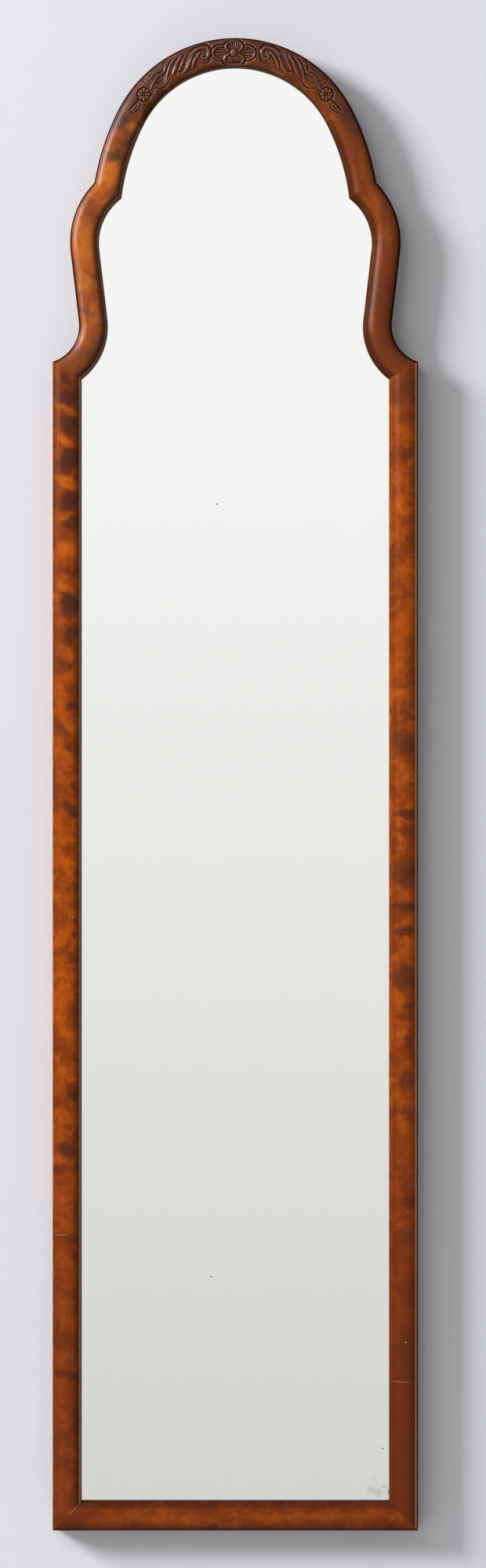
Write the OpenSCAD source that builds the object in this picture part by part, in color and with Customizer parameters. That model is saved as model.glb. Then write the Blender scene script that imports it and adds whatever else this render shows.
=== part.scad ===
// Tall wall mirror in stained birch: a three-centred arch with a carved crown, a notch,
// a round lobe and a flared shoulder on each side, straight stiles and a bottom rail.
// The pieces are drawn lying face up on a bench, with x across, y up the mirror and z
// from the wall to the face, and the whole is then stood up with its face towards -Y.
// The origin is on the wall plane, midway between the entry holes of the two hangers.

/* [Overall] */
// Height from the apex of the arch to the bottom edge
overall_h = 1250; // [1150:5:1350]
// Width across the outer faces of the two stiles
frame_w = 306; // [300:1:316]
// Depth from the wall to the highest line of the face
frame_d = 20; // [19:0.5:24]
// Drop from the apex to the line through the hangers' entry holes
hang_drop = 330; // [326:1:420]

/* [Moulding] */
// Width of the moulding, the same all the way round
mould_w = 24; // [23:0.5:26]
// Distance from the outer edge to the highest line of the face
crest_d = 10.5; // [9:0.5:13]
// Radius of the crowned face
face_r = 34; // [28:1:80]
// Rounding of the outer edge
outer_round = 3.5; // [2:0.25:4.5]
// Rounding of the sight edge
inner_round = 5; // [3:0.25:6]
// Width of the rebate behind the lip
rebate_w = 7; // [6:0.25:8]
// Thickness of the lip in front of the glass
lip_t = 8; // [7:0.25:8.5]

/* [Arch] */
// Outer radius of the top of the arch, which is the crown piece
arch_r = 110; // [107:0.5:113]
// Outer radius of the flatter haunch below it
haunch_r = 210; // [200:1:225]
// Angle above the horizontal at which crown and haunch meet
crown_joint_a = 27; // [24:0.5:32]

/* [Lobe and shoulder] */
// Distance of the lobe's centre from the middle of the mirror
lobe_x = 67.5; // [66:0.5:70]
// Drop from the apex to the lobe's centre
lobe_drop = 171; // [169:0.5:174]
// Outer radius of the lobe
lobe_r = 71; // [69:0.5:73]
// Distance of the flare's centre outside the outer face of the stile
flare_out = 9.5; // [7:0.5:13]
// Drop from the apex to the flare's centre
flare_drop = 241; // [237:0.5:246]
// Outer radius of the hollow flare above the shoulder
flare_r = 31.5; // [29:0.5:34]

/* [Carving] */
// Radius of the gouge that cuts the outlines of flower, scrolls and leaves
gouge_r = 1.1; // [0.8:0.1:1.5]
// Depth of a gouge cut below the face
gouge_t = 0.7; // [0.4:0.1:0.9]
// Drop from the apex to the middle of the flower
flower_drop = 12.6; // [11.5:0.1:13.5]
// Radius of the flower's boss, at the middle of the ring cut round it
boss_r = 3.9; // [3:0.1:4.5]
// Radius of the dished hollow in a side petal
petal_r = 4.4; // [3.5:0.1:5]
// Radius of the hollow in the upper and lower petals
end_petal_r = 2.4; // [2:0.1:2.8]
// Depth of the hollows
petal_t = 0.8; // [0.4:0.1:1]
// Width of the rim left standing round a hollow
rim_w = 0.6; // [0.4:0.1:0.9]
// Distance of the side petals' hollows from the middle of the flower
petal_x = 10.6; // [9.5:0.1:11.5]
// Distance of the upper and lower petals' hollows from the middle of the flower
petal_y = 6; // [5.7:0.1:6.3]
// Radius of the small daisy at each end
daisy_r = 4.8; // [4:0.1:5.5]
// Distance of the daisy from the middle of the mirror
daisy_x = 76.4; // [75:0.2:77]
// Drop from the apex to the daisy
daisy_drop = 47.7; // [46:0.2:49]

/* [Tongues and keys] */
// Thickness of the loose tongues
tongue_t = 3; // [2:0.25:4]
// Height of the middle of the tongues above the wall
tongue_z = 10; // [9.5:0.25:12]
// Width of the tongues in the crown joints
crown_tongue_w = 11; // [8:0.5:12]
// Length of the tongues in the crown joints
crown_tongue_l = 18; // [12:1:24]
// Width of the tongues in the shoulder mitres
mitre_tongue_w = 9; // [6:0.5:10]
// Length of the tongues in the shoulder mitres
mitre_tongue_l = 14; // [10:0.5:15]
// Distance of the shoulder tongues from the outer corner, along the mitre
mitre_tongue_in = 8; // [7:0.5:9]
// Thickness of the corner keys
key_t = 2; // [1.5:0.25:3]
// Length of a corner key along each outer face
key_leg = 26; // [20:0.5:29]
// Height of the middle of the corner keys above the wall
key_z = 6; // [5:0.25:8]
// Glue gap round a tongue or a key in its slot
glue_gap = 0.1; // [0.05:0.05:0.2]

/* [Glass and backing] */
// Thickness of the glass plate
glass_t = 3.8; // [3:0.2:4]
// Thickness of the silvering and its protective paint
silver_t = 0.2; // [0.1:0.1:0.4]
// Gap between the glass and the wall of the rebate, filled by packing slips
glass_gap = 2; // [1.5:0.25:2.5]
// Length of a packing slip
slip_l = 30; // [20:1:50]
// Distance of the side slips from the hanging line and from the bottom edge
slip_inset = 120; // [80:5:200]
// Distance of the bottom slips from the middle
slip_x = 70; // [40:1:90]
// Thickness of the backing board
board_t = 4; // [3:0.25:5]
// Gap between the backing board and the wall of the rebate
board_gap = 0.4; // [0.2:0.1:0.8]

/* [Brads] */
// Radius of a brad's wire
brad_r = 0.7; // [0.5:0.05:0.9]
// Length of a brad that lies over the backing board
brad_out = 6; // [4:0.5:8]
// Length of a brad that is driven into the wood
brad_in = 9; // [6:0.5:11]
// Radius of a brad's head
brad_head_r = 1.1; // [1:0.05:1.3]
// Thickness of a brad's head
brad_head_t = 0.5; // [0.3:0.1:0.8]
// Spacing of the brads along the stiles
brad_pitch = 190; // [140:5:260]
// Distance of the end brads from the hanging line and the bottom edge
brad_inset = 75; // [60:1:100]
// Angle of the outer brads of the crown from the apex
brad_crown_a = 42; // [30:1:50]

/* [Hangers] */
// Width of a hanger plate
plate_w = 15; // [14:0.5:16]
// Thickness of a hanger plate
plate_t = 1.5; // [1:0.25:2]
// Radius of the entry hole for the head of the wall screw
entry_r = 5; // [4.5:0.25:5.5]
// Radius of the slot's end, half the slot's width
slot_r = 2.5; // [2.25:0.25:3]
// Height of the slot's end above the entry hole
slot_rise = 12; // [10:0.5:14]
// Depth of the pocket behind the plate
pocket_t = 6; // [4.5:0.5:8]
// Side gap of the pocket round the keyhole
pocket_gap = 1; // [0.5:0.25:1.5]
// Radius of the hanger screws
screw_r = 1.5; // [1.25:0.25:1.75]
// Length of the hanger screws
screw_l = 12; // [10:0.5:14]
// Radius of the hanger screws' heads
screw_head_r = 2.9; // [2.5:0.1:3.2]
// Distance from a screw to the nearest edge of the keyhole
screw_off = 7.5; // [6.5:0.5:9]
// Distance from a screw to the end of the plate
plate_end = 6; // [5:0.5:8]
// Running clearance of plates and screws in their seats
seat_gap = 0.1; // [0.05:0.05:0.2]

/* [Hidden] */

$fn = 96;
wood = [0.56, 0.30, 0.14];
dark_wood = [0.40, 0.22, 0.13];
pine = [0.80, 0.66, 0.45];
steel = [0.62, 0.62, 0.60];
brass = [0.72, 0.56, 0.28];

half_w = frame_w / 2;
apex_y = hang_drop;
bottom_y = hang_drop - overall_h;
// Depth inset of the rebate's wall and height of its floor, which is the back of the lip
wall_d = mould_w - rebate_w;
lip_z = frame_d - lip_t;
// Anything larger than the mirror, for cutting, and the overrun of a cutter past a face
far = 2 * overall_h;
over = 1;
// Sweeps of lobe and flare, in degrees, that reach past their mitres before they are cut
lobe_sweep = 90;
flare_sweep = 100;
haunch_over = 4;
// Radius of the blunt point of a hanger screw
screw_tip_r = 0.3;
// Steps of an arc that is drawn as points
arc_n = 6;
face_n = 6;
edge_step = 4;

// Centres of the arcs on the right-hand side
arch_c = [0, apex_y - arch_r];
haunch_c = arch_c - (haunch_r - arch_r) * [cos(crown_joint_a), sin(crown_joint_a)];
lobe_c = [lobe_x, apex_y - lobe_drop];
flare_c = [half_w + flare_out, apex_y - flare_drop];
// Direction square to the straight stretch that touches both lobe and flare
lobe_to_flare = flare_c - lobe_c;
neck_a = atan2(lobe_to_flare.y, lobe_to_flare.x) + acos((lobe_r + flare_r) / norm(lobe_to_flare));

function unit(a) = [cos(a), sin(a)];
function angle_of(v) = atan2(v.y, v.x);
// Points of an arc from angle a0 to a1 in n steps, without the first when skip is 1
function arc(c, r, a0, a1, n, skip = 0) = [for (i = [skip:n]) c + r * unit(a0 + (a1 - a0) * i / n)];
function steps(a0, a1) = ceil(abs(a1 - a0) / edge_step);
// The meeting point of two circles that lies to the right of the line from c0 to c1
function circles_meet(c0, r0, c1, r1) =
    let (v = c1 - c0, l = norm(v), a = (l * l + r0 * r0 - r1 * r1) / (2 * l), h = sqrt(r0 * r0 - a * a))
    c0 + a * v / l + h * [-v.y, v.x] / l;

// The notch and the shoulder corner at inset d from the outer edge
function notch(d) = circles_meet(haunch_c, haunch_r - d, lobe_c, lobe_r - d);
function shoulder(d) =
    [half_w - d, flare_c.y - sqrt(pow(flare_r + d, 2) - pow(flare_out + d, 2))];

// The right half of the outline at inset d, from the apex down to the bottom corner
function half_outline(d) =
    let (
        haunch_end = angle_of(notch(d) - haunch_c),
        lobe_start = angle_of(notch(d) - lobe_c),
        flare_end = 360 + angle_of(shoulder(d) - flare_c)
    )
    concat(
        arc(arch_c, arch_r - d, 90, crown_joint_a, steps(90, crown_joint_a)),
        arc(haunch_c, haunch_r - d, crown_joint_a, haunch_end, steps(crown_joint_a, haunch_end), 1),
        arc(lobe_c, lobe_r - d, lobe_start, neck_a, steps(lobe_start, neck_a), 1),
        arc(flare_c, flare_r + d, neck_a + 180, flare_end, steps(neck_a + 180, flare_end)),
        [[half_w - d, bottom_y + d]]
    );
function outline(d) =
    let (right = half_outline(d), n = len(right))
    concat(right, [for (i = [n - 1:-1:1]) [-right[i].x, right[i].y]]);

// The moulding's section, with x as the inset from the outer edge and y as the height
function section() =
    let (
        fc = [crest_d, frame_d - face_r],
        oc = [outer_round, fc.y + sqrt(pow(face_r - outer_round, 2) - pow(crest_d - outer_round, 2))],
        ix = mould_w - inner_round,
        ic = [ix, fc.y + sqrt(pow(face_r - inner_round, 2) - pow(ix - crest_d, 2))],
        a_out = angle_of(oc - fc),
        a_in = angle_of(ic - fc)
    )
    concat(
        [[0, 0]],
        arc(oc, outer_round, 180, a_out, arc_n),
        arc(fc, face_r, a_out, 90, face_n, 1),
        arc(fc, face_r, 90, a_in, face_n, 1),
        arc(ic, inner_round, a_in, 0, arc_n, 1),
        [[mould_w, lip_z], [wall_d, lip_z], [wall_d, 0]]
    );

// Stands the mirror up from the bench
module stood_up() {
    rotate([90, 0, 0]) children();
}

module both_sides(side) {
    if (side == "left") mirror([1, 0, 0]) children();
    else children();
}

// Moulding bent about a centre inside the frame, with outer radius r
module bent_out(r, a0, a1) {
    rotate_extrude(angle = a1 - a0, start = a0, $fn = 240)
        translate([r, 0]) mirror([1, 0]) polygon(section());
}

// Moulding bent about a centre outside the frame, with outer edge at radius r
module bent_in(r, a0, a1) {
    rotate_extrude(angle = a1 - a0, start = a0, $fn = 240)
        translate([r, 0]) polygon(section());
}

// Straight moulding that runs down from the origin, with its outer edge to the right
module straight(length) {
    mirror([1, 0, 0]) rotate([90, 0, 0]) linear_extrude(length) polygon(section());
}

module placed(at, a = 0) {
    translate([at.x, at.y, 0]) rotate([0, 0, a]) children();
}

// The half space to the left of the line from p to q
module left_of(p, q) {
    placed(p, angle_of(q - p)) translate([-far / 2, 0, -over]) cube([far, far / 2, frame_d + 2 * over]);
}

// Turns the notch's mitre into the level plane z = 0, with the haunch below it, and back again
mitre_a = angle_of(notch(mould_w) - notch(0));
module on_mitre() {
    rotate([90, 0, 0]) rotate([0, 0, -mitre_a]) translate([-notch(0).x, -notch(0).y, 0]) children();
}

module off_mitre() {
    placed(notch(0), mitre_a) rotate([-90, 0, 0]) children();
}

module past_mitre() {
    translate([-far / 2, -far / 2, 0]) cube([far, far, far / 2]);
}

// One side of each other mitre: above the shoulder and below the bottom corner
module above_shoulder() {
    left_of(shoulder(mould_w), shoulder(0));
}

module below_corner() {
    left_of([half_w, bottom_y], [half_w - 1, bottom_y + 1]);
}

// A tongue, or its slot, across a joint whose outer end is p and whose face runs along angle a
module tongue(p, a, inset, width, length, gap) {
    translate([p.x, p.y, tongue_z]) rotate([0, 0, a])
        translate([inset - gap, -length / 2 - gap, -tongue_t / 2 - gap])
            cube([width + 2 * gap, length + 2 * gap, tongue_t + 2 * gap]);
}

module crown_tongue(gap) {
    tongue(arch_c + arch_r * unit(crown_joint_a), crown_joint_a + 180,
        (wall_d - crown_tongue_w) / 2, crown_tongue_w, crown_tongue_l, gap);
}

module shoulder_tongue(gap) {
    tongue(shoulder(0), angle_of(shoulder(mould_w) - shoulder(0)),
        mitre_tongue_in, mitre_tongue_w, mitre_tongue_l, gap);
}

// A triangular key across the bottom mitre, or its saw cut
module corner_key(gap) {
    leg = key_leg + 2 * gap;
    translate([half_w, bottom_y, key_z - key_t / 2 - gap])
        linear_extrude(key_t + 2 * gap) polygon([[0, 0], [0, leg], [-leg, 0]]);
}

// Brad places on the wall of the rebate: x, y and the angle in which each is driven
function bent_site(c, r, a) = concat(c + (r - wall_d) * unit(a), [a]);
crown_sites = [for (i = [-1:1]) bent_site(arch_c, arch_r, 90 + i * brad_crown_a)];
haunch_mid_a = (crown_joint_a + angle_of(notch(wall_d) - haunch_c)) / 2;
shoulder_sites = [bent_site(haunch_c, haunch_r, haunch_mid_a), bent_site(lobe_c, lobe_r, 0)];
stile_sites = [for (y = [-brad_inset:-brad_pitch:bottom_y + brad_inset]) [half_w - wall_d, y, 0]];
rail_sites = [for (i = [-1, 1]) [i * brad_inset, bottom_y + wall_d, -90]];
board_z = lip_z - glass_t - silver_t - board_t;
brad_z = board_z - brad_r - seat_gap;

module at_sites(sites) {
    for (s = sites)
        translate([s.x, s.y, brad_z]) rotate([0, 0, s.z]) rotate([0, 90, 0]) children();
}

module brad() {
    translate([0, 0, -brad_out]) cylinder(r = brad_r, h = brad_out + brad_in, $fn = 16);
    translate([0, 0, -brad_out - brad_head_t]) cylinder(r = brad_head_r, h = brad_head_t, $fn = 16);
}

module brad_holes(sites) {
    at_sites(sites) translate([0, 0, -over])
        cylinder(r = brad_r + seat_gap, h = brad_in + seat_gap + over, $fn = 16);
}

// Places on the crown are given as x and drop from the apex. This is the height of the face there
function face_z(p) =
    let (d = arch_r - norm([p.x, apex_y - p.y] - arch_c))
    frame_d - face_r + sqrt(pow(face_r, 2) - pow(d - crest_d, 2));
function on_face(p) = [p.x, apex_y - p.y, face_z(p)];

// The centre of the circle through three points
function centre_of(p, m, q) =
    let (a = m - p, b = q - p, k = 2 * (a.x * b.y - a.y * b.x), aa = a * a, bb = b * b)
    p + [b.y * aa - a.y * bb, a.x * bb - b.x * aa] / k;

// Turns v back from a plane that is tipped by the angle tip towards the direction way
function levelled(v, tip, way) =
    let (x = v.x * cos(way) + v.y * sin(way), y = v.y * cos(way) - v.x * sin(way))
    [x * cos(tip) - v.z * sin(tip), y, x * sin(tip) + v.z * cos(tip)];

// A round groove on the face in an arc from p through m to q, as a gouge leaves it
module gouge(p, m, q) {
    across = cross(on_face(m) - on_face(p), on_face(q) - on_face(p));
    normal = across * sign(across.z) / norm(across);
    tip = acos(normal.z);
    way = angle_of(normal);
    flat = [for (v = [p, m, q]) levelled(on_face(v), tip, way)];
    ends = [for (v = flat) [v.x, v.y]];
    c = centre_of(ends[0], ends[1], ends[2]);
    start = angle_of(ends[0] - c);
    turn = angle_of(ends[2] - c) - start;
    sweep = across.z > 0 ? (turn + 360) % 360 : (turn - 360) % 360;
    rotate([0, tip, way]) translate([c.x, c.y, flat[0].z - gouge_t + gouge_r])
        rotate_extrude(angle = sweep, start = start, $fn = 60)
            translate([norm(ends[0] - c), 0]) circle(gouge_r, $fn = 14);
}

// A round groove that runs full circle
module ring_cut(p, r) {
    translate([p.x, apex_y - p.y, face_z(p) - gouge_t + gouge_r])
        rotate_extrude($fn = 40) translate([r, 0]) circle(gouge_r, $fn = 14);
}

// A dished hollow of radius r and depth t
module hollow(p, r, t) {
    ball_r = (r * r + t * t) / (2 * t);
    translate([p.x, apex_y - p.y, face_z(p) - t + ball_r]) sphere(ball_r);
}

// The flower in the middle of the crown: a boss, four dished petals and their outlines
module flower_cuts() {
    middle = [0, flower_drop];
    corner = [petal_x - gouge_r, petal_r + rim_w];
    end_corner = [petal_x - 2 * gouge_r, petal_r];
    side_reach = petal_x + petal_r + rim_w + gouge_r;
    end_reach = petal_y + end_petal_r + rim_w + gouge_r;
    ring_cut(middle, boss_r);
    for (s = [-1, 1]) {
        hollow(middle + [s * petal_x, 0], petal_r, petal_t);
        hollow(middle + [0, s * petal_y], end_petal_r, petal_t);
        gouge(middle + [s * corner.x, corner.y], middle + [s * side_reach, 0],
            middle + [s * corner.x, -corner.y]);
        gouge(middle + [-end_corner.x, s * end_corner.y], middle + [0, s * end_reach],
            middle + [end_corner.x, s * end_corner.y]);
    }
}

// The scroll, leaves, tendril and tail of the right-hand side, each cut from p through m to q
leaf_cuts = [
    [[38.4, 12], [28.4, 5.9], [20.4, 10.2]],
    [[20.4, 10.2], [20.6, 15.8], [25.8, 20.8]],
    [[36, 18.4], [31.4, 12], [25.4, 11.2]],
    [[37.4, 24.6], [36, 19.2], [33.2, 14.9]],
    [[34.4, 26], [32.6, 20.4], [29, 14.8]],
    [[39, 14.4], [41.6, 22.4], [46, 28.8]],
    [[42.8, 14.4], [46.6, 21.6], [49.2, 29.6]],
    [[47.8, 16], [52.4, 23.6], [55.4, 33]],
    [[52.4, 16.8], [57, 23.6], [58.8, 32]],
    [[55.8, 16.4], [60, 21], [61.4, 27.4]],
    [[59.4, 31], [61.4, 36], [66.4, 37.8]],
    [[54.6, 34], [58.4, 40.4], [66, 42.6]],
    [[62.4, 28.6], [68.6, 33.2], [72.6, 41.4]],
    [[80.6, 53], [84.8, 56.8], [88.2, 61]],
    [[79.6, 55.8], [83, 61], [88.6, 63.8]]
];

module leaf_side() {
    daisy = [daisy_x, daisy_drop];
    for (cut = leaf_cuts) gouge(cut[0], cut[1], cut[2]);
    ring_cut(daisy, daisy_r);
    hollow(daisy, daisy_r / 3, gouge_t);
}

module crown() {
    color(dark_wood) stood_up() difference() {
        placed(arch_c) bent_out(arch_r, crown_joint_a, 180 - crown_joint_a);
        crown_tongue(glue_gap);
        mirror([1, 0, 0]) crown_tongue(glue_gap);
        brad_holes(crown_sites);
        flower_cuts();
        leaf_side();
        mirror([1, 0, 0]) leaf_side();
    }
}

// Lobe, straight neck and hollow flare in one run, drawn with the neck upright
module lobe_and_flare() {
    neck_l = sqrt(pow(norm(lobe_to_flare), 2) - pow(lobe_r + flare_r, 2));
    bent_out(lobe_r, 0, lobe_sweep);
    translate([lobe_r, 0, 0]) straight(neck_l);
    translate([lobe_r + flare_r, -neck_l, 0]) bent_in(flare_r, 180, 180 + flare_sweep);
}

// One side of the crest, from the crown joint down to the shoulder mitre
module side_crest() {
    haunch_end = angle_of(notch(mould_w) - haunch_c);
    difference() {
        off_mitre() union() {
            difference() {
                on_mitre() placed(haunch_c)
                    bent_out(haunch_r, haunch_end - haunch_over, crown_joint_a);
                past_mitre();
            }
            intersection() {
                on_mitre() intersection() {
                    placed(lobe_c, neck_a) lobe_and_flare();
                    above_shoulder();
                }
                past_mitre();
            }
        }
        crown_tongue(glue_gap);
        shoulder_tongue(glue_gap);
        brad_holes(shoulder_sites);
    }
}

module shoulder_piece(side) {
    color(wood) stood_up() both_sides(side) side_crest();
}

// The plate's outline and keyhole, about the entry hole
plate_low = -entry_r - screw_off - plate_end;
plate_high = slot_rise + slot_r + screw_off + plate_end;
screw_ys = [-entry_r - screw_off, slot_rise + slot_r + screw_off];
hanger_x = half_w - wall_d / 2;

module plate_outline(gap) {
    r = plate_w / 2;
    translate([0, plate_low + r]) circle(r + gap);
    translate([0, plate_high - r]) circle(r + gap);
    translate([-r - gap, plate_low + r]) square([plate_w + 2 * gap, plate_high - plate_low - plate_w]);
}

module keyhole(gap) {
    circle(entry_r + gap);
    translate([0, slot_rise]) circle(slot_r + gap);
    translate([-slot_r - gap, 0]) square([2 * (slot_r + gap), slot_rise]);
}

// Head, shank and point of a hanger screw, driven in from the wall side
module screw(gap) {
    cone_h = screw_head_r - screw_r;
    shank_h = screw_l - screw_r + gap;
    translate([0, 0, -gap])
        cylinder(r1 = screw_head_r + 2 * gap, r2 = screw_r + gap, h = cone_h + gap, $fn = 32);
    cylinder(r = screw_r + gap, h = shank_h, $fn = 32);
    translate([0, 0, shank_h]) cylinder(r1 = screw_r + gap, r2 = screw_tip_r, h = screw_r, $fn = 32);
}

module hanger_seat() {
    translate([hanger_x, 0, -over]) linear_extrude(plate_t + seat_gap + over) plate_outline(seat_gap);
    translate([hanger_x, 0, 0]) linear_extrude(plate_t + pocket_t) {
        circle(entry_r + pocket_gap);
        translate([0, slot_rise]) circle(entry_r + pocket_gap);
        translate([-entry_r - pocket_gap, 0]) square([2 * (entry_r + pocket_gap), slot_rise]);
    }
    for (y = screw_ys) translate([hanger_x, y, 0]) screw(seat_gap);
}

module stile(side) {
    top = shoulder(0).y + over;
    color(wood) stood_up() both_sides(side) difference() {
        translate([half_w, top, 0]) straight(top - bottom_y);
        above_shoulder();
        below_corner();
        shoulder_tongue(glue_gap);
        corner_key(glue_gap);
        hanger_seat();
        brad_holes(stile_sites);
    }
}

module bottom_rail() {
    color(wood) stood_up() difference() {
        intersection() {
            placed([half_w, bottom_y], -90) straight(frame_w);
            below_corner();
            mirror([1, 0, 0]) below_corner();
        }
        corner_key(glue_gap);
        mirror([1, 0, 0]) corner_key(glue_gap);
        brad_holes(rail_sites);
    }
}

module sheet(inset, low, thick) {
    translate([0, 0, low]) linear_extrude(thick) polygon(outline(inset));
}

module mirror_glass() {
    color("lightcyan") stood_up() sheet(wall_d + glass_gap, lip_z - glass_t, glass_t);
}

module silvering() {
    color("silver") stood_up() sheet(wall_d + glass_gap, lip_z - glass_t - silver_t, silver_t);
}

// Thin slips that centre the glass between the walls of the rebate and carry it at the bottom
module packing_slips() {
    side_ys = [-slip_inset - slip_l, bottom_y + slip_inset];
    color(pine) stood_up() translate([0, 0, lip_z - glass_t]) {
        for (s = [-1, 1], y = side_ys)
            translate([s * (half_w - wall_d - glass_gap / 2) - glass_gap / 2, y, 0])
                cube([glass_gap, slip_l, glass_t]);
        for (s = [-1, 1])
            translate([s * slip_x - slip_l / 2, bottom_y + wall_d, 0])
                cube([slip_l, glass_gap, glass_t]);
    }
}

module backing_board() {
    color(pine) stood_up() sheet(wall_d + board_gap, board_z, board_t);
}

module backing_brads() {
    color(steel) stood_up() {
        at_sites(crown_sites) brad();
        at_sites(rail_sites) brad();
        for (side = ["left", "right"]) both_sides(side) {
            at_sites(shoulder_sites) brad();
            at_sites(stile_sites) brad();
        }
    }
}

module hanger(side) {
    color(brass) stood_up() both_sides(side) translate([hanger_x, 0, 0]) difference() {
        linear_extrude(plate_t) difference() {
            plate_outline(0);
            keyhole(0);
        }
        for (y = screw_ys) translate([0, y, 0]) screw(seat_gap);
    }
}

module hanger_screws() {
    color(brass) stood_up() for (side = ["left", "right"], y = screw_ys)
        both_sides(side) translate([hanger_x, y, 0]) screw(0);
}

module crown_tongue_piece(side) {
    color(pine) stood_up() both_sides(side) crown_tongue(0);
}

module shoulder_tongue_piece(side) {
    color(pine) stood_up() both_sides(side) shoulder_tongue(0);
}

module corner_key_piece(side) {
    color(pine) stood_up() both_sides(side) corner_key(0);
}

crown();
shoulder_piece("left");  // left_shoulder
shoulder_piece("right");  // right_shoulder
stile("left");  // left_stile
stile("right");  // right_stile
bottom_rail();
crown_tongue_piece("left");  // left_crown_tongue
crown_tongue_piece("right");  // right_crown_tongue
shoulder_tongue_piece("left");  // left_shoulder_tongue
shoulder_tongue_piece("right");  // right_shoulder_tongue
corner_key_piece("left");  // left_corner_key
corner_key_piece("right");  // right_corner_key
mirror_glass();
silvering();
packing_slips();
backing_board();
backing_brads();
hanger("left");  // left_hanger
hanger("right");  // right_hanger
hanger_screws();
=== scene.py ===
"""Looks of a tall wall mirror in stained flame birch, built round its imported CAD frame.

Lengths are metres in the frame's axes: x across, y towards the wall, z up. Carving and figure are laid
out in millimetres instead, as x from the middle of the mirror and drop from the top of its arch, the
way a carver's drawing is dimensioned.
"""
import logging
import math
from dataclasses import dataclass
from enum import Enum
from functools import reduce
from operator import or_
from typing import Any, Iterable, Optional, Union

import bpy
import numpy as np
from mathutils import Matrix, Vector


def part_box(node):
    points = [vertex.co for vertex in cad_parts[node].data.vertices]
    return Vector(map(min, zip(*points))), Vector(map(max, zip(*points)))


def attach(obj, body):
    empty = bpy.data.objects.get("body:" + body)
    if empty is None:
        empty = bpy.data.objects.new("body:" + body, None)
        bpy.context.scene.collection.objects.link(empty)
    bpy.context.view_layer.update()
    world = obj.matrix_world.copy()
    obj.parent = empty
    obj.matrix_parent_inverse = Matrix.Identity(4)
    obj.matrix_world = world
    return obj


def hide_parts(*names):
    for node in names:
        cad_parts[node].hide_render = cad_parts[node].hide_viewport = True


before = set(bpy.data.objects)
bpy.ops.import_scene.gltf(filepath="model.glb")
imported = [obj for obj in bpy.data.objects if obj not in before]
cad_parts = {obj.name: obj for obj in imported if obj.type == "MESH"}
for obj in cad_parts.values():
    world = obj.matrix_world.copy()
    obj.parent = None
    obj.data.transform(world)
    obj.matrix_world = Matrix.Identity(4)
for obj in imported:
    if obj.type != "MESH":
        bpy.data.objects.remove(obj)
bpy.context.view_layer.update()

MM = 0.001
ROOT = "root"
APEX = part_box("crown")[1].z / MM
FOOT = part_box("bottom_rail")[0].z / MM
HALF_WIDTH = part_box("bottom_rail")[1].x / MM

log = logging.getLogger("mirror")

Colour = tuple[float, float, float, float]
Point = tuple[float, float]


def screen(red: int, green: int, blue: int) -> Colour:
    """Turns a colour as a screen shows it, 0 to 255, into linear light.

    Args:
        red: Red, 0 to 255.
        green: Green, 0 to 255.
        blue: Blue, 0 to 255.

    Returns:
        The linear colour with full alpha.
    """
    parts = [value / 255 for value in (red, green, blue)]
    linear = [p / 12.92 if p <= 0.04045 else ((p + 0.055) / 1.055) ** 2.4 for p in parts]
    return (linear[0], linear[1], linear[2], 1.0)


def smooth(values: np.ndarray) -> np.ndarray:
    """Eases values from 0 to 1 in and out, and holds them there beyond."""
    held = np.clip(values, 0.0, 1.0)
    return held * held * (3.0 - 2.0 * held)


class Value:
    """A number that varies over a surface. Arithmetic on it adds Math nodes to its shader."""

    def __init__(self, shader: "Shader", socket: bpy.types.NodeSocket) -> None:
        """Wraps one output socket of the shader's tree."""
        self.shader = shader
        self.socket = socket

    def _math(self, operation: str, *values: "Number") -> "Value":
        """Adds one Math node on these values."""
        return self.shader.value("ShaderNodeMath", {"operation": operation}, dict(enumerate(values)))

    def __add__(self, other: "Number") -> "Value":
        """Adds."""
        return self._math("ADD", self, other)

    __radd__ = __add__

    def __sub__(self, other: "Number") -> "Value":
        """Takes other from this."""
        return self._math("SUBTRACT", self, other)

    def __rsub__(self, other: "Number") -> "Value":
        """Takes this from other."""
        return self._math("SUBTRACT", other, self)

    def __mul__(self, other: "Number") -> "Value":
        """Multiplies."""
        return self._math("MULTIPLY", self, other)

    __rmul__ = __mul__

    def __abs__(self) -> "Value":
        """Drops the sign."""
        return self._math("ABSOLUTE", self)

    def __or__(self, other: "Number") -> "Value":
        """Takes the larger, so that masks join."""
        return self._math("MAXIMUM", self, other)

    def cycle(self) -> "Value":
        """Keeps what follows the decimal point, so that a rising value repeats."""
        return self._math("FRACT", self)

    def ease(self, low: float, high: float) -> "Value":
        """Eases from 0 at low to 1 at high, where low may be the larger."""
        settings = {"interpolation_type": "SMOOTHSTEP"}
        return self.shader.value("ShaderNodeMapRange", settings, {0: self, 1: low, 2: high})


Number = Union[float, Value]


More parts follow.
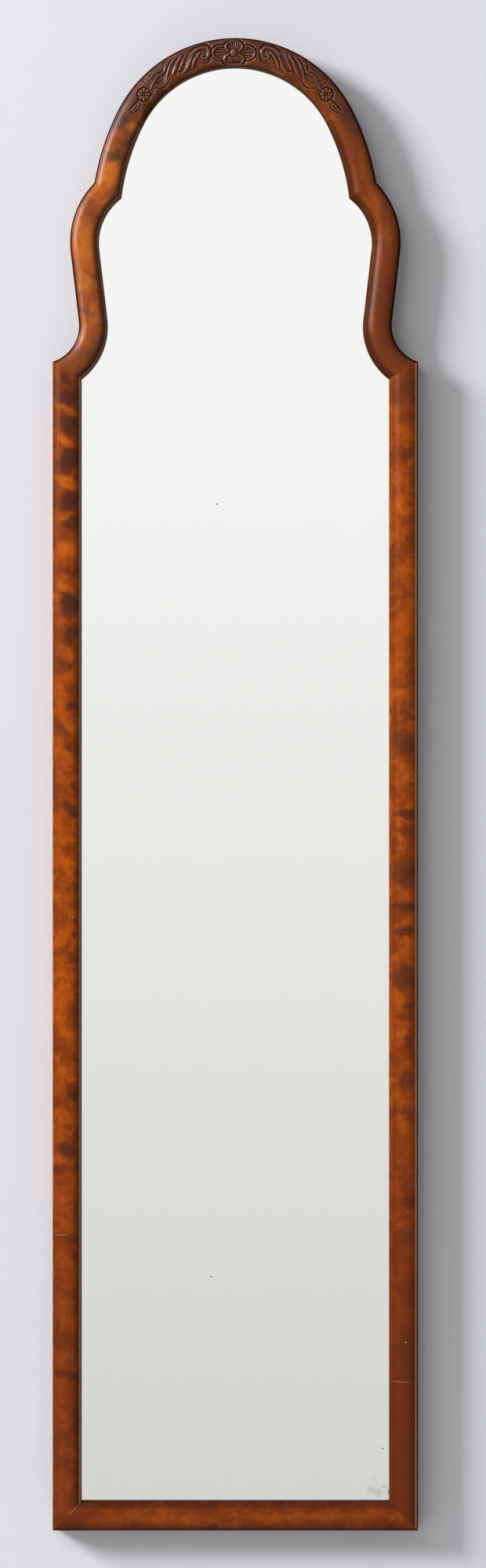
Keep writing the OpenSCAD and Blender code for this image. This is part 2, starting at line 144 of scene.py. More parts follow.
class Shader:
    """A material or world and its node tree."""

    def __init__(self, owner: Union[bpy.types.Material, bpy.types.World]) -> None:
        """Empties the owner's tree, so that every node in it comes from here.

        Args:
            owner: The material or world.
        """
        owner.use_nodes = True
        self.owner = owner
        self.tree = owner.node_tree
        self.tree.nodes.clear()

    def node(
        self, kind: str, settings: Optional[dict[str, Any]] = None, inputs: Optional[dict[Any, Any]] = None
    ) -> bpy.types.Node:
        """Adds a node.

        Args:
            kind: The node's type.
            settings: Its properties, which are set first.
            inputs: Numbers, colours or links for its sockets, by name or place.

        Returns:
            The new node.
        """
        node = self.tree.nodes.new(kind)
        for name, value in (settings or {}).items():
            setattr(node, name, value)
        for place, value in (inputs or {}).items():
            source = value.socket if isinstance(value, Value) else value
            if isinstance(source, bpy.types.NodeSocket):
                self.tree.links.new(source, node.inputs[place])
            else:
                node.inputs[place].default_value = source
        return node

    def value(self, kind: str, settings: dict[str, Any], inputs: dict[Any, Any], out: int = 0) -> Value:
        """Adds a node and returns one of its outputs as a value."""
        return Value(self, self.node(kind, settings, inputs).outputs[out])

    def vector(self, operation: str, *inputs: Any) -> bpy.types.NodeSocket:
        """Adds a Vector Math node and returns the vector."""
        return self.node("ShaderNodeVectorMath", {"operation": operation}, dict(enumerate(inputs))).outputs[0]

    def length(self, vector: bpy.types.NodeSocket) -> Value:
        """Returns a vector's length."""
        return self.value("ShaderNodeVectorMath", {"operation": "LENGTH"}, {0: vector}, 1)

    def reach(self, across: Value, along: Value) -> Value:
        """Returns the length of a vector with these two parts."""
        return self.length(self.node("ShaderNodeCombineXYZ", {}, {0: across, 1: along}).outputs[0])

    def away(self, place: bpy.types.NodeSocket, centre: Point, size: Point = (1.0, 1.0)) -> Value:
        """Returns how far a place lies from a spot of the given size, whatever its depth."""
        moved = self.vector("SUBTRACT", place, (centre[0], 0.0, centre[1]))
        return self.length(self.vector("MULTIPLY", moved, (1 / size[0], 0.0, 1 / size[1])))

    def mix(self, share: Number, first: Any, second: Any) -> bpy.types.NodeSocket:
        """Blends two colours, from first at 0 to second at 1."""
        node = self.node("ShaderNodeMix", {"data_type": "RGBA"}, {0: share, 6: first, 7: second})
        return node.outputs[2]

    def noise(self, where: Any, scale: float, detail: float = 2.0, kink: float = 0.0) -> Value:
        """Returns smooth noise from 0 to 1."""
        inputs = {"Vector": where, "Scale": scale, "Detail": detail, "Distortion": kink}
        return self.value("ShaderNodeTexNoise", {}, inputs)

    def place(self) -> bpy.types.NodeSocket:
        """Finds where a point lies.

        Returns:
            Its x, its y towards the wall and its drop, in millimetres.
        """
        here = self.node("ShaderNodeTexCoord").outputs["Object"]
        inputs = {0: here, "Location": (0.0, 0.0, APEX), "Scale": (1 / MM, 1 / MM, -1 / MM)}
        return self.node("ShaderNodeMapping", {}, inputs).outputs[0]

    def parts(self, vector: bpy.types.NodeSocket) -> tuple[Value, Value, Value]:
        """Splits a vector into its three values."""
        split = self.node("ShaderNodeSeparateXYZ", {}, {0: vector})
        return Value(self, split.outputs[0]), Value(self, split.outputs[1]), Value(self, split.outputs[2])

    def surface(
        self, bump: Optional[Value] = None, bump_height: float = 0.0, **sockets: Any
    ) -> bpy.types.Material:
        """Ends the material in a Principled shader.

        Args:
            bump: A height from 0 to 1 that roughens the surface.
            bump_height: The real height of a full step of bump, in metres.
            **sockets: The shader's inputs, with underscores for spaces.

        Returns:
            The finished material.
        """
        inputs = {name.replace("_", " "): value for name, value in sockets.items()}
        if bump is not None:
            relief = {"Height": bump, "Distance": bump_height, "Strength": 1.0}
            inputs["Normal"] = self.node("ShaderNodeBump", {}, relief).outputs[0]
        shader = self.node("ShaderNodeBsdfPrincipled", {}, inputs)
        self.node("ShaderNodeOutputMaterial", {}, {"Surface": shader.outputs[0]})
        return self.owner


def material(name: str) -> Shader:
    """Returns the shader of a new material."""
    return Shader(bpy.data.materials.new(name))


class Grain(Enum):
    """How the fibres of a piece run, as the length of a streak along x, y and drop."""

    UPRIGHT = (1.0, 1.0, 26.0)
    LEVEL = (26.0, 1.0, 1.0)


class Tone(Enum):
    """What a patch of the figure or the stain does to the wood."""

    DARK = "dark"
    BROWN = "brown"
    BRIGHT = "bright"
    SCRATCH = "scratch"


@dataclass(frozen=True)
class Flame:
    """A patch of the flame figure, in millimetres, with its slope in degrees down to the right."""

    tone: Tone
    x: float
    drop: float
    wide: float
    tall: float
    slope: float = 0.0
    strength: float = 1.0


def flames(tone: Tone, *rows: tuple[float, ...]) -> list[Flame]:
    """Lists patches of one tone, each row with x, drop, width, height, slope and strength."""
    return [Flame(tone, *row) for row in rows]


CREST_FIGURE = (
    *flames(
        Tone.BROWN,
        (-95, 87, 15, 15, 0, 1), (-128, 250, 9, 60, 5, 0.5), (-131, 272, 40, 26, 30, 1),
        (92, 92, 12, 34, -20, 0.9), (100, 120, 10, 40, -12, 0.8),
    ),
    *flames(
        Tone.BRIGHT,
        (-104, 114, 13, 22, 5, 1), (-83, 71, 7, 15, 38, 1), (-109, 140, 16, 22, 0, 0.5),
        (-124, 172, 15, 34, 0, 0.9), (-126, 205, 10, 20, 0, 0.5), (112, 120, 8, 60, -14, 0.8),
        (78, 70, 7, 26, -35, 0.9),
    ),
    *flames(
        Tone.DARK,
        (-101, 99, 17, 9, -20, 0.9), (-96, 71, 9, 17, -15, 0.8), (-108, 97, 6, 5, 0, 0.6),
        (-93, 90, 6, 8, 0, 0.5), (-120, 199, 11, 5, 20, 0.5), (-127, 229, 6, 6, 0, 0.7),
        (-118, 254, 11, 12, 10, 0.45), (-116, 262, 20, 22, 30, 0.55), (-112, 240, 5, 5, 0, 0.5),
        (-142, 282, 22, 9, 30, 0.8), (-105, 130, 20, 6, -35, 0.45), (124, 232, 12, 22, -10, 0.4),
        (124, 220, 24, 46, -10, 1), (129, 262, 30, 44, 20, 0.8), (122, 262, 14, 10, 0, 0.4),
    ),
)

LEFT_STILE_FIGURE = (
    *flames(Tone.BROWN, (-141, 370, 30, 150, 0, 0.6)),
    *flames(
        Tone.BRIGHT,
        (-141, 311, 20, 5, 25, 0.9), (-142, 338, 16, 6, 40, 0.9), (-140, 372, 22, 8, 25, 0.9),
        (-142, 400, 12, 9, 10, 0.7), (-139, 428, 18, 12, 30, 0.9), (-141, 461, 20, 8, 30, 0.8),
    ),
    *flames(
        Tone.DARK,
        (-143, 286, 14, 10, 35, 0.9), (-141, 301, 18, 14, 20), (-140, 324, 17, 14, 40),
        (-141, 295, 26, 40, 0, 0.45), (-140, 354, 17, 24, 25), (-140, 389, 18, 18, 45),
        (-137, 407, 11, 14, 45, 0.8), (-141, 448, 17, 6, 25, 0.5), (-139, 475, 16, 22, 15),
        (-138, 500, 13, 17, 30, 0.9), (-142, 524, 16, 7, 30, 0.6), (-137, 560, 10, 8, 20, 0.9),
        (-143, 580, 14, 5, 35, 0.6), (-138, 594, 7, 7, 20, 0.8), (-135, 628, 6, 7, 0, 0.7),
        (-138, 646, 16, 7, 40, 0.9), (-134, 740, 5, 4, 0, 0.8), (-134, 750, 6, 5, 0, 0.8),
        (-138, 771, 5, 8, 0, 0.4), (-136, 885, 11, 6, 40, 0.8), (-140, 912, 8, 5, 25, 0.6),
        (-140, 931, 18, 13, 10), (-146, 946, 12, 7, 0, 0.6), (-141, 1119, 20, 9, 12, 0.9),
        (-134, 1149, 6, 5, 0, 0.7), (-134, 1160, 5, 4, 0, 0.5),
    ),
    *flames(Tone.SCRATCH, (-145.8, 1002, 9, 0.45, -3, 0.8)),
)

RIGHT_STILE_FIGURE = (
    *flames(
        Tone.DARK,
        (142, 296, 26, 34, 0, 0.7), (143, 317, 14, 11, 0, 0.5), (144, 348, 13, 10, 0, 0.5),
        (141, 542, 14, 9, 5, 0.6), (145, 560, 10, 12, 0, 0.6), (142, 590, 21, 19, 4, 0.9),
        (148, 625, 6, 4, 0, 0.7), (143, 650, 18, 7, 6), (144, 664, 12, 10, 0, 0.6),
        (142, 700, 22, 24, 0, 0.9), (142, 728, 20, 8, 4), (142, 748, 20, 8, 4),
        (141, 786, 21, 21, -5, 0.9), (146, 810, 9, 5, -15, 0.8), (141, 820, 16, 5, 0, 0.5),
        (145, 840, 11, 10, 0, 0.8), (143, 874, 13, 16, 0, 0.7), (141, 897, 16, 8, -5, 0.5),
        (145, 974, 10, 11, -10, 0.8), (142, 1005, 14, 16, 0, 0.6), (142, 1101, 12, 24, 0, 0.7),
        (147, 1193, 6, 7, 0, 0.5),
    ),
    *flames(Tone.SCRATCH, (138.4, 1125, 14, 0.4, 2, 0.6), (142.4, 1092, 1.6, 1, 20, 0.8)),
)

RAIL_FIGURE = (
    *flames(
        Tone.BRIGHT,
        (-70, 1239, 90, 6, 0, 0.5), (-20, 1244, 70, 4, 1, 0.5), (60, 1238, 110, 6, -1, 0.5),
    ),
    *flames(
        Tone.DARK,
        (-19, 1247, 8, 5, 0, 0.8), (147, 1241, 9, 6, 0, 0.8), (-138, 1240, 34, 16, 0, 0.6),
        (20, 1234, 80, 3, 0, 0.5),
    ),
)


@dataclass(frozen=True)
class BirchTones:
    """Colours of the stained and varnished birch, and of the shade and sheen painted on it."""

    bright: Colour = screen(206, 112, 34)
    body: Colour = screen(176, 86, 20)
    brown: Colour = screen(134, 66, 24)
    flame: Colour = screen(84, 50, 36)
    # deep colours the pores and the stain, and is also the painted shade at the edges and at the glass.
    deep: Colour = screen(38, 19, 12)
    toner: Colour = screen(112, 50, 22)
    red: Colour = screen(96, 40, 20)
    crown: Colour = screen(80, 46, 35)
    crown_inner: Colour = screen(110, 54, 25)
    # ridge lightens the carved ridges, partly rubbed and partly painted highlight; cut darkens the cuts,
    # partly stain and partly painted shade.
    ridge: Colour = screen(150, 100, 70)
    cut: Colour = screen(24, 13, 9)
    # Scratches, and the painted sheen along the arrises.
    wear_and_sheen: Colour = screen(196, 150, 116)
    mitre: Colour = screen(205, 180, 150)
    bare: Colour = screen(164, 122, 80)


STRAIGHT_TONES = BirchTones(
    bright=screen(208, 102, 22), body=screen(178, 80, 8), brown=screen(132, 58, 12), flame=screen(78, 42, 27)
)


class Run(Enum):
    """The runs of the moulding, which differ in how its outer edge goes."""

    ARCH = "arch"
    CREST = "crest"
    STILE = "stile"
    RAIL = "rail"


@dataclass(frozen=True)
class Outline:
    """The mirror's outline in millimetres: x from the middle, up from the hanging line.

    The arcs are the frame's own: arch, haunch, lobe and hollow flare, each tangent or mitred to the next.
    Their centres are those of the right half.
    """

    arch_r: float = 110.0
    haunch_r: float = 210.0
    joint: float = 27.0
    lobe_x: float = 67.5
    lobe_drop: float = 171.0
    lobe_r: float = 71.0
    flare_out: float = 9.5
    flare_drop: float = 241.0
    flare_r: float = 31.5
    step: float = 1.5

    @property
    def arch(self) -> Point:
        """Returns the arch's centre."""
        return (0.0, APEX - self.arch_r)

    @property
    def haunch(self) -> Point:
        """Returns the haunch's centre."""
        return self.polar(self.arch, self.arch_r - self.haunch_r, self.joint)

    @property
    def lobe(self) -> Point:
        """Returns the lobe's centre."""
        return (self.lobe_x, APEX - self.lobe_drop)

    @property
    def flare(self) -> Point:
        """Returns the flare's centre."""
        return (HALF_WIDTH + self.flare_out, APEX - self.flare_drop)

    @staticmethod
    def polar(centre: Point, radius: float, angle: float) -> Point:
        """Returns the point at this radius and angle, in degrees, from a centre."""
        turn = math.radians(angle)
        return (centre[0] + radius * math.cos(turn), centre[1] + radius * math.sin(turn))

    @staticmethod
    def angle(centre: Point, point: Point) -> float:
        """Returns the direction from a centre to a point, in degrees."""
        return math.degrees(math.atan2(point[1] - centre[1], point[0] - centre[0]))

    @staticmethod
    def meet(first: Point, first_r: float, second: Point, second_r: float) -> Point:
        """Finds where two circles meet.

        Args:
            first: Centre of the first circle.
            first_r: Its radius.
            second: Centre of the second circle.
            second_r: Its radius.

        Returns:
            The meeting point to the right of the line from first to second.
        """
        across = (second[0] - first[0], second[1] - first[1])
        apart = math.hypot(*across)
        along = (apart**2 + first_r**2 - second_r**2) / (2 * apart)
        side = math.sqrt(first_r**2 - along**2)
        return (
            first[0] + (along * across[0] - side * across[1]) / apart,
            first[1] + (along * across[1] + side * across[0]) / apart,
        )

    def arc(self, centre: Point, radius: float, start: float, end: float, count: int = 0) -> list[Point]:
        """Returns points along an arc, both ends among them: count steps, or steps of the usual angle."""
        count = count or max(1, math.ceil(abs(end - start) / self.step))
        return [self.polar(centre, radius, start + (end - start) * i / count) for i in range(count + 1)]

    def neck(self) -> tuple[float, float]:
        """Measures the straight neck between lobe and flare.

        Returns:
            The angle at which both arcs meet it, in degrees, and its length.
        """
        between = math.dist(self.lobe, self.flare)
        reach = self.lobe_r + self.flare_r
        turn = math.degrees(math.acos(reach / between))
        return self.angle(self.lobe, self.flare) + turn, math.sqrt(between**2 - reach**2)

    def crest(self, inset: float, counts: tuple[int, int, int] = (0, 0, 0)) -> list[Point]:
        """Lists one shoulder's run of the outline, on the right.

        Args:
            inset: Distance inside the outer edge.
            counts: Steps along haunch, lobe and flare, or 0 for steps of the usual angle.

        Returns:
            Points from the crown joint down to the shoulder mitre.
        """
        haunch_r, lobe_r, flare_r = self.haunch_r - inset, self.lobe_r - inset, self.flare_r + inset
        notch = self.meet(self.haunch, haunch_r, self.lobe, lobe_r)
        fall = math.sqrt(flare_r**2 - (self.flare_out + inset) ** 2)
        shoulder = (HALF_WIDTH - inset, self.flare[1] - fall)
        neck = self.neck()[0]
        end = 360.0 + self.angle(self.flare, shoulder)
        points = self.arc(self.haunch, haunch_r, self.joint, self.angle(self.haunch, notch), counts[0])
        points += self.arc(self.lobe, lobe_r, self.angle(self.lobe, notch), neck, counts[1])[1:]
        return points + self.arc(self.flare, flare_r, neck + 180.0, end, counts[2])

    def half(self, inset: float) -> list[Point]:
        """Returns the right half of the outline, from the top of the arch down to the bottom corner."""
        arch = self.arc(self.arch, self.arch_r - inset, 90.0, self.joint)
        return arch + self.crest(inset)[1:] + [(HALF_WIDTH - inset, FOOT + inset)]

    def whole(self, inset: float) -> list[Point]:
        """Returns the closed outline at this inset, clockwise from the top."""
        right = self.half(inset)
        return right + [(-x, up) for x, up in reversed(right[1:])]


class Moulding(Shader):
    """The material of one run of the moulding, which knows where on it a point lies, in millimetres."""

    side_band: Point = (-16.5, -14.0)

    def __init__(self, name: str, outline: Outline, run: Run) -> None:
        """Starts the material.

        Args:
            name: Its name.
            outline: The frame's outline, from which the inset comes.
            run: The run.
        """
        super().__init__(bpy.data.materials.new(name))
        self.spot = self.place()
        self.x, self.y, self.drop = self.parts(self.spot)
        self.inset = self.from_edge(outline, run)
        self.side = self.y.ease(*self.side_band)

    def from_edge(self, outline: Outline, run: Run) -> Value:
        """Works out how far inside the outer edge a point lies.

        Args:
            outline: The frame's outline.
            run: The run.

        Returns:
            The distance.
        """
        across, drop = abs(self.x), self.drop
        if run is Run.STILE:
            return HALF_WIDTH - across
        if run is Run.RAIL:
            return (APEX - FOOT) - drop
        if run is Run.ARCH:
            return outline.arch_r - self.reach(across, drop - outline.arch_r)
        haunch_x, haunch_up = outline.haunch
        haunch = outline.haunch_r - self.reach(across - haunch_x, drop - (APEX - haunch_up))
        angle, length = outline.neck()
        turn = math.radians(angle)
        right, low = across - outline.lobe_x, drop - outline.lobe_drop
        out = right * math.cos(turn) - low * math.sin(turn)
        down = right * math.sin(turn) + low * math.cos(turn)
        lobe = self.reach(out, down - (down | 0.0))
        flare = self.reach((outline.lobe_r + outline.flare_r) - out, (down - length) | 0.0)
        return haunch | (out - lobe + flare - outline.flare_r)


@dataclass(frozen=True)
class StainedBirch:
    """Satin-varnished flame birch of one piece of the frame.

    The crown is stained darker, and its stain fades out on the shoulders below it. Toner darkens a
    whole piece, painted shade darkens its edges and the glass line, and painted sheen lightens the arrises.
    A band runs from where its tone starts to where it is full, in millimetres of inset, y or drop.
    """

    name: str
    grain: Grain
    run: Run
    figure: tuple[Flame, ...] = ()
    reddening: float = 0.0
    mottle: float = 0.5
    toning: float = 0.0
    outer_painted_shade: float = 0.3
    inner_painted_shade: float = 0.35
    contour_shade: float = 0.2
    glass_shade: float = 0.8
    inner_arris_sheen: float = 0.0
    outer_arris_sheen: float = 0.0
    gloss: float = 0.38
    coat_rough: float = 0.2
    carved: bool = False
    open_mitre: bool = False
    tones: BirchTones = BirchTones()
    wander: float = 11.0
    patch_deep: float = 60.0
    patch_share: float = 0.9
    back_band: Point = (-1.0, -0.2)
    red_band: Point = (780.0, 1180.0)
    outer_band: Point = (9.5, 0.0)
    inner_band: Point = (16.5, 21.0)
    contour_band: Point = (2.4, 1.2)
    arris_band: Point = (21.6, 22.5)
    glass_band: Point = (23.2, 23.8)
    stain_band: Point = (88.0, 74.0)
    bump_height: float = 0.00003

    def patches(self, shader: Moulding, tone: Tone) -> Value:
        """Joins the patches of one tone, whose edges wander as the fibres do. A scratch is straight.

        Args:
            shader: The material.
            tone: The tone.

        Returns:
            The mask, 1 within a full patch.
        """
        place = shader.spot
        if tone is not Tone.SCRATCH:
            stray = shader.node("ShaderNodeTexNoise", {}, {"Vector": place, "Scale": 0.11, "Detail": 2.5})
            stray = shader.vector("SUBTRACT", stray.outputs["Color"], (0.5, 0.5, 0.5))
            place = shader.vector("MULTIPLY_ADD", stray, (self.wander, 0.0, self.wander), place)
        masks = []
        for flame in self.figure:
            if flame.tone is tone:
                local = shader.node("ShaderNodeMapping", {"vector_type": "TEXTURE"}, {
                    0: place, "Location": (flame.x, 0.0, flame.drop),
                    "Rotation": (0.0, -math.radians(flame.slope), 0.0),
                    "Scale": (flame.wide / 2, self.patch_deep, flame.tall / 2),
                })
                masks.append(shader.length(local.outputs[0]).ease(1.6, 0.6) * flame.strength)
        return reduce(or_, masks)

    def wood(self, shader: Moulding, fibre: Value) -> bpy.types.NodeSocket:
        """Colours the stained wood: cloudy mottle, the figure's patches, fibres and fine pores.

        Args:
            shader: The material.
            fibre: Noise drawn out along the fibres.

        Returns:
            The colour before the piece's edges are shaded.
        """
        tones, place = self.tones, shader.spot
        cloud = shader.noise(place, 0.05, 3.0, 0.4)
        colour = shader.mix(cloud.ease(0.36, 0.64), tones.brown, tones.body)
        light = shader.noise(place, 0.09, 4.0, 0.5)
        colour = shader.mix(light.ease(0.50, 0.72) * 0.65, colour, tones.bright)
        dark = shader.noise(place, 0.045, 3.0, 0.6)
        colour = shader.mix(dark.ease(0.56, 0.74) * self.mottle * 0.8, colour, tones.flame)
        speckle = shader.noise(place, 0.55, 4.0, 0.3)
        colour = shader.mix(speckle.ease(0.50, 0.70) * 0.20, colour, tones.flame)
        colour = shader.mix(speckle.ease(0.48, 0.32) * 0.20, colour, tones.bright)
        given = {flame.tone for flame in self.figure}
        for tone, shade in ((Tone.BROWN, tones.brown), (Tone.BRIGHT, tones.bright), (Tone.DARK, tones.flame)):
            if tone in given:
                colour = shader.mix(self.patches(shader, tone) * self.patch_share, colour, shade)
        grime = shader.noise(place, 0.32, 5.0, 0.5)
        colour = shader.mix(grime.ease(0.52, 0.68) * 0.30, colour, tones.flame)
        colour = shader.mix(fibre.ease(0.60, 0.34) * 0.14, colour, tones.deep)
        if self.toning:
            streak = shader.noise(shader.vector("DIVIDE", place, (1.0, 1.0, 5.0)), 0.12, 2.0)
            colour = shader.mix((streak - 0.5) * 0.5 + self.toning, colour, tones.toner)
        return colour

    def crown_stain(self, shader: Moulding, colour: bpy.types.NodeSocket) -> bpy.types.NodeSocket:
        """Lays the crown's darker stain over the wood, down to where it fades out.

        Args:
            shader: The material.
            colour: The wood's colour.

        Returns:
            The colour with the stain on it.
        """
        tones = self.tones
        stain = shader.mix(shader.inset.ease(9.0, 16.0), tones.crown, tones.crown_inner)
        cloud = shader.noise(shader.spot, 0.07, 4.0, 0.5)
        stain = shader.mix(cloud.ease(0.44, 0.64) * 0.45, stain, tones.deep)
        stain = shader.mix(cloud.ease(0.46, 0.32) * 0.35, stain, tones.crown_inner)
        stained = (shader.drop + shader.inset * 0.7 + (cloud - 0.5) * 50.0).ease(*self.stain_band)
        return shader.mix(stained * 0.92, colour, stain)

    def wear_and_painted_light(self, shader: Moulding, colour: bpy.types.NodeSocket) -> bpy.types.NodeSocket:
        """Draws the edges: painted shade along the outer rim and at the glass, painted sheen on the arrises,
        the open mitre and scratches.

        Args:
            shader: The material.
            colour: The colour so far.

        Returns:
            The colour with its edges.
        """
        tones, inset = self.tones, shader.inset
        # Painted shade: darkens the rounding at the outer edge.
        contour_shade = inset.ease(*self.contour_band) * (1.0 - shader.side * 0.3)
        colour = shader.mix(contour_shade * self.contour_shade, colour, tones.deep)
        # Painted reflection: a pale strip on the inner arris of the left half, for the light the varnish
        # catches there.
        if self.inner_arris_sheen:
            wear_and_sheen = inset.ease(*self.arris_band) * (shader.noise(shader.spot, 0.2, 2.0) * 0.5 + 0.7)
            wear_and_sheen = wear_and_sheen * shader.x.ease(0.0, -20.0) * shader.drop.ease(64.0, 84.0)
            colour = shader.mix(wear_and_sheen * self.inner_arris_sheen, colour, tones.wear_and_sheen)
        # Painted shade: a dark line where the face meets the glass.
        colour = shader.mix(inset.ease(*self.glass_band) * self.glass_shade, colour, tones.deep)
        # Painted highlight: a pale line along the outer arris.
        if self.outer_arris_sheen:
            wear_and_sheen = inset.ease(1.0, 1.5) * inset.ease(2.8, 2.2) * (1.0 - shader.side)
            colour = shader.mix(wear_and_sheen * self.outer_arris_sheen, colour, tones.wear_and_sheen)
        if self.open_mitre:
            from_side = shader.x + HALF_WIDTH
            gap = abs(from_side - ((APEX - FOOT) - shader.drop)).ease(0.55, 0.2) * from_side.ease(13.0, 15.5)
            colour = shader.mix(gap * 0.8, colour, tones.mitre)
        if Tone.SCRATCH in {flame.tone for flame in self.figure}:
            colour = shader.mix(self.patches(shader, Tone.SCRATCH), colour, tones.wear_and_sheen)
        return colour

    def build(self, outline: Outline) -> bpy.types.Material:
        """Makes the material.

        Args:
            outline: The frame's outline.

        Returns:
            The finished material.
        """
        shader = Moulding(self.name, outline, self.run)
        tones, place, inset = self.tones, shader.spot, shader.inset
        fibre = shader.noise(shader.vector("DIVIDE", place, self.grain.value), 1.6, 3.0)
        colour = self.wood(shader, fibre)
        if self.reddening:
            colour = shader.mix(shader.drop.ease(*self.red_band) * self.reddening, colour, tones.red)
        # Painted shade: the face darkens towards its outer and inner edges.
        colour = shader.mix(inset.ease(*self.outer_band) * self.outer_painted_shade, colour, tones.deep)
        colour = shader.mix(inset.ease(*self.inner_band) * self.inner_painted_shade, colour, tones.deep)
        varnish = (shader.noise(place, 0.3, 3.0) * 0.4 + 0.8) * self.gloss
        if self.run in (Run.ARCH, Run.CREST):
            colour = self.crown_stain(shader, colour)
        if self.carved:
            lift = shader.value("ShaderNodeAttribute", {"attribute_name": "lift"}, {}, 2)
            # Ridges lighter, partly rubbed and partly painted highlight; cuts darker, partly stain and partly
            # painted shade.
            cut = lift.ease(0.0, -0.34)
            colour = shader.mix(lift.ease(0.03, 0.30) * 0.5, colour, tones.ridge)
            colour = shader.mix(cut * 0.92, colour, tones.cut)
            varnish = (varnish - cut * 0.2) * (1.0 - shader.x.ease(20.0, 80.0) * 0.6)
        colour = self.wear_and_painted_light(shader, colour)
        back = shader.y.ease(*self.back_band)
        bare = back * (shader.noise(place, 0.03, 3.0).ease(0.3, 0.6) * 0.35 + 0.5)
        coated = inset.ease(1.0, 2.4) * inset.ease(22.6, 20.8) | shader.side
        return shader.surface(
            bump=fibre, bump_height=self.bump_height, Base_Color=shader.mix(bare, colour, tones.bare),
            Roughness=fibre * 0.2 + 0.4, Specular_IOR_Level=0.0, Coat_Weight=varnish * coated * (1.0 - bare),
            Coat_Roughness=self.coat_rough,
        )


@dataclass(frozen=True)
class RawWood:
    """Planed wood without a finish: pine board and slips, birch tongues and keys."""

    name: str
    pale: Colour
    ring: Colour
    grain: Grain
    ring_width: float = 7.0
    knots: tuple[Point, ...] = ()
    knot_size: Point = (7.0, 9.0)
    swirl_size: Point = (14.0, 30.0)
    knot: Colour = screen(96, 58, 34)
    pores: Colour = screen(120, 84, 50)
    dirt: Colour = screen(128, 112, 92)

    def build(self) -> bpy.types.Material:
        """Makes the material.

        Returns:
            The finished material.
        """
        shader = material(self.name)
        place = shader.place()
        streaked = shader.vector("DIVIDE", place, self.grain.value)
        bend = shader.noise(streaked, 1.2 / self.ring_width, 2.0) * 5.0
        across = shader.parts(place)[0 if self.grain is Grain.UPRIGHT else 2]
        phase = across * (1 / self.ring_width) + bend
        for knot in self.knots:
            phase = phase + shader.away(place, knot, self.swirl_size).ease(2.2, 0.0) * 3.0
        fibre = shader.noise(streaked, 1.8, 3.0)
        colour = shader.mix(phase.cycle().ease(0.15, 0.95) * 0.75, self.pale, self.ring)
        for knot in self.knots:
            core = shader.away(place, knot, self.knot_size).ease(1.1, 0.7)
            colour = shader.mix(core * 0.9, colour, self.knot)
        colour = shader.mix(fibre.ease(0.6, 0.35) * 0.3, colour, self.pores)
        colour = shader.mix(shader.noise(place, 0.02, 3.0).ease(0.45, 0.75) * 0.35, colour, self.dirt)
        return shader.surface(
            bump=fibre, bump_height=0.00008, Base_Color=colour, Roughness=fibre * 0.15 + 0.62
        )


@dataclass(frozen=True)
class AgedMetal:
    """Steel wire or brass plate with handling marks and a dull film."""

    name: str
    clean: Colour
    film: Colour
    dull: float = 0.35

    def build(self) -> bpy.types.Material:
        """Makes the material.

        Returns:
            The finished material.
        """
        shader = material(self.name)
        place = shader.place()
        spots = shader.noise(place, 0.35, 4.0, 0.5).ease(0.48, 0.68)
        brushed = shader.noise(shader.vector("DIVIDE", place, (1.0, 1.0, 12.0)), 3.0, 2.0)
        return shader.surface(
            bump=brushed, bump_height=0.00002, Base_Color=shader.mix(spots * 0.8, self.clean, self.film),
            Roughness=spots * 0.25 + brushed * 0.12 + self.dull, Metallic=1.0,
        )


@dataclass(frozen=True)
class Silver:
    """Silvering of an old plate, with a few specks and a little foxing at its lower corner."""

    name: str = "old_silvering"
    clean: Colour = (0.975, 0.985, 0.965, 1.0)
    yellowed: Colour = screen(206, 200, 176)
    gone: Colour = (0.05, 0.045, 0.04, 1.0)
    specks: tuple[Point, ...] = ((-15.5, 390.0), (-20.4, 1038.0), (123.6, 1182.2))
    speck_r: float = 0.7
    foxed: Point = (127.5, 1222.0)
    hazed: Point = (121.5, 1218.0)

    def build(self) -> bpy.types.Material:
        """Makes the material.

        Returns:
            The finished material.
        """
        shader = material(self.name)
        place = shader.place()
        marks = shader.noise(place, 0.25, 4.0).ease(0.52, 0.7)
        marks = marks * shader.away(place, self.foxed).ease(11.0, 2.0)
        for speck in self.specks:
            marks = marks | shader.away(place, speck).ease(self.speck_r * 1.3, self.speck_r * 0.6)
        haze = shader.noise(place, 0.15, 4.0).ease(0.42, 0.66)
        haze = haze * shader.away(place, self.hazed).ease(17.0, 4.0)
        clean = shader.mix(haze * 0.5, self.clean, self.yellowed)
        return shader.surface(
            Base_Color=shader.mix(marks, clean, self.gone), Metallic=1.0, Roughness=marks * 0.5
        )


@dataclass(frozen=True)
class PlateGlass:
    """Clear soda glass, very slightly green."""

    name: str = "clear_plate_glass"
    tint: Colour = (0.985, 0.995, 0.985, 1.0)

    def build(self) -> bpy.types.Material:
        """Makes the material."""
        shader = material(self.name)
        return shader.surface(Base_Color=self.tint, Roughness=0.0, IOR=1.5, Transmission_Weight=1.0)


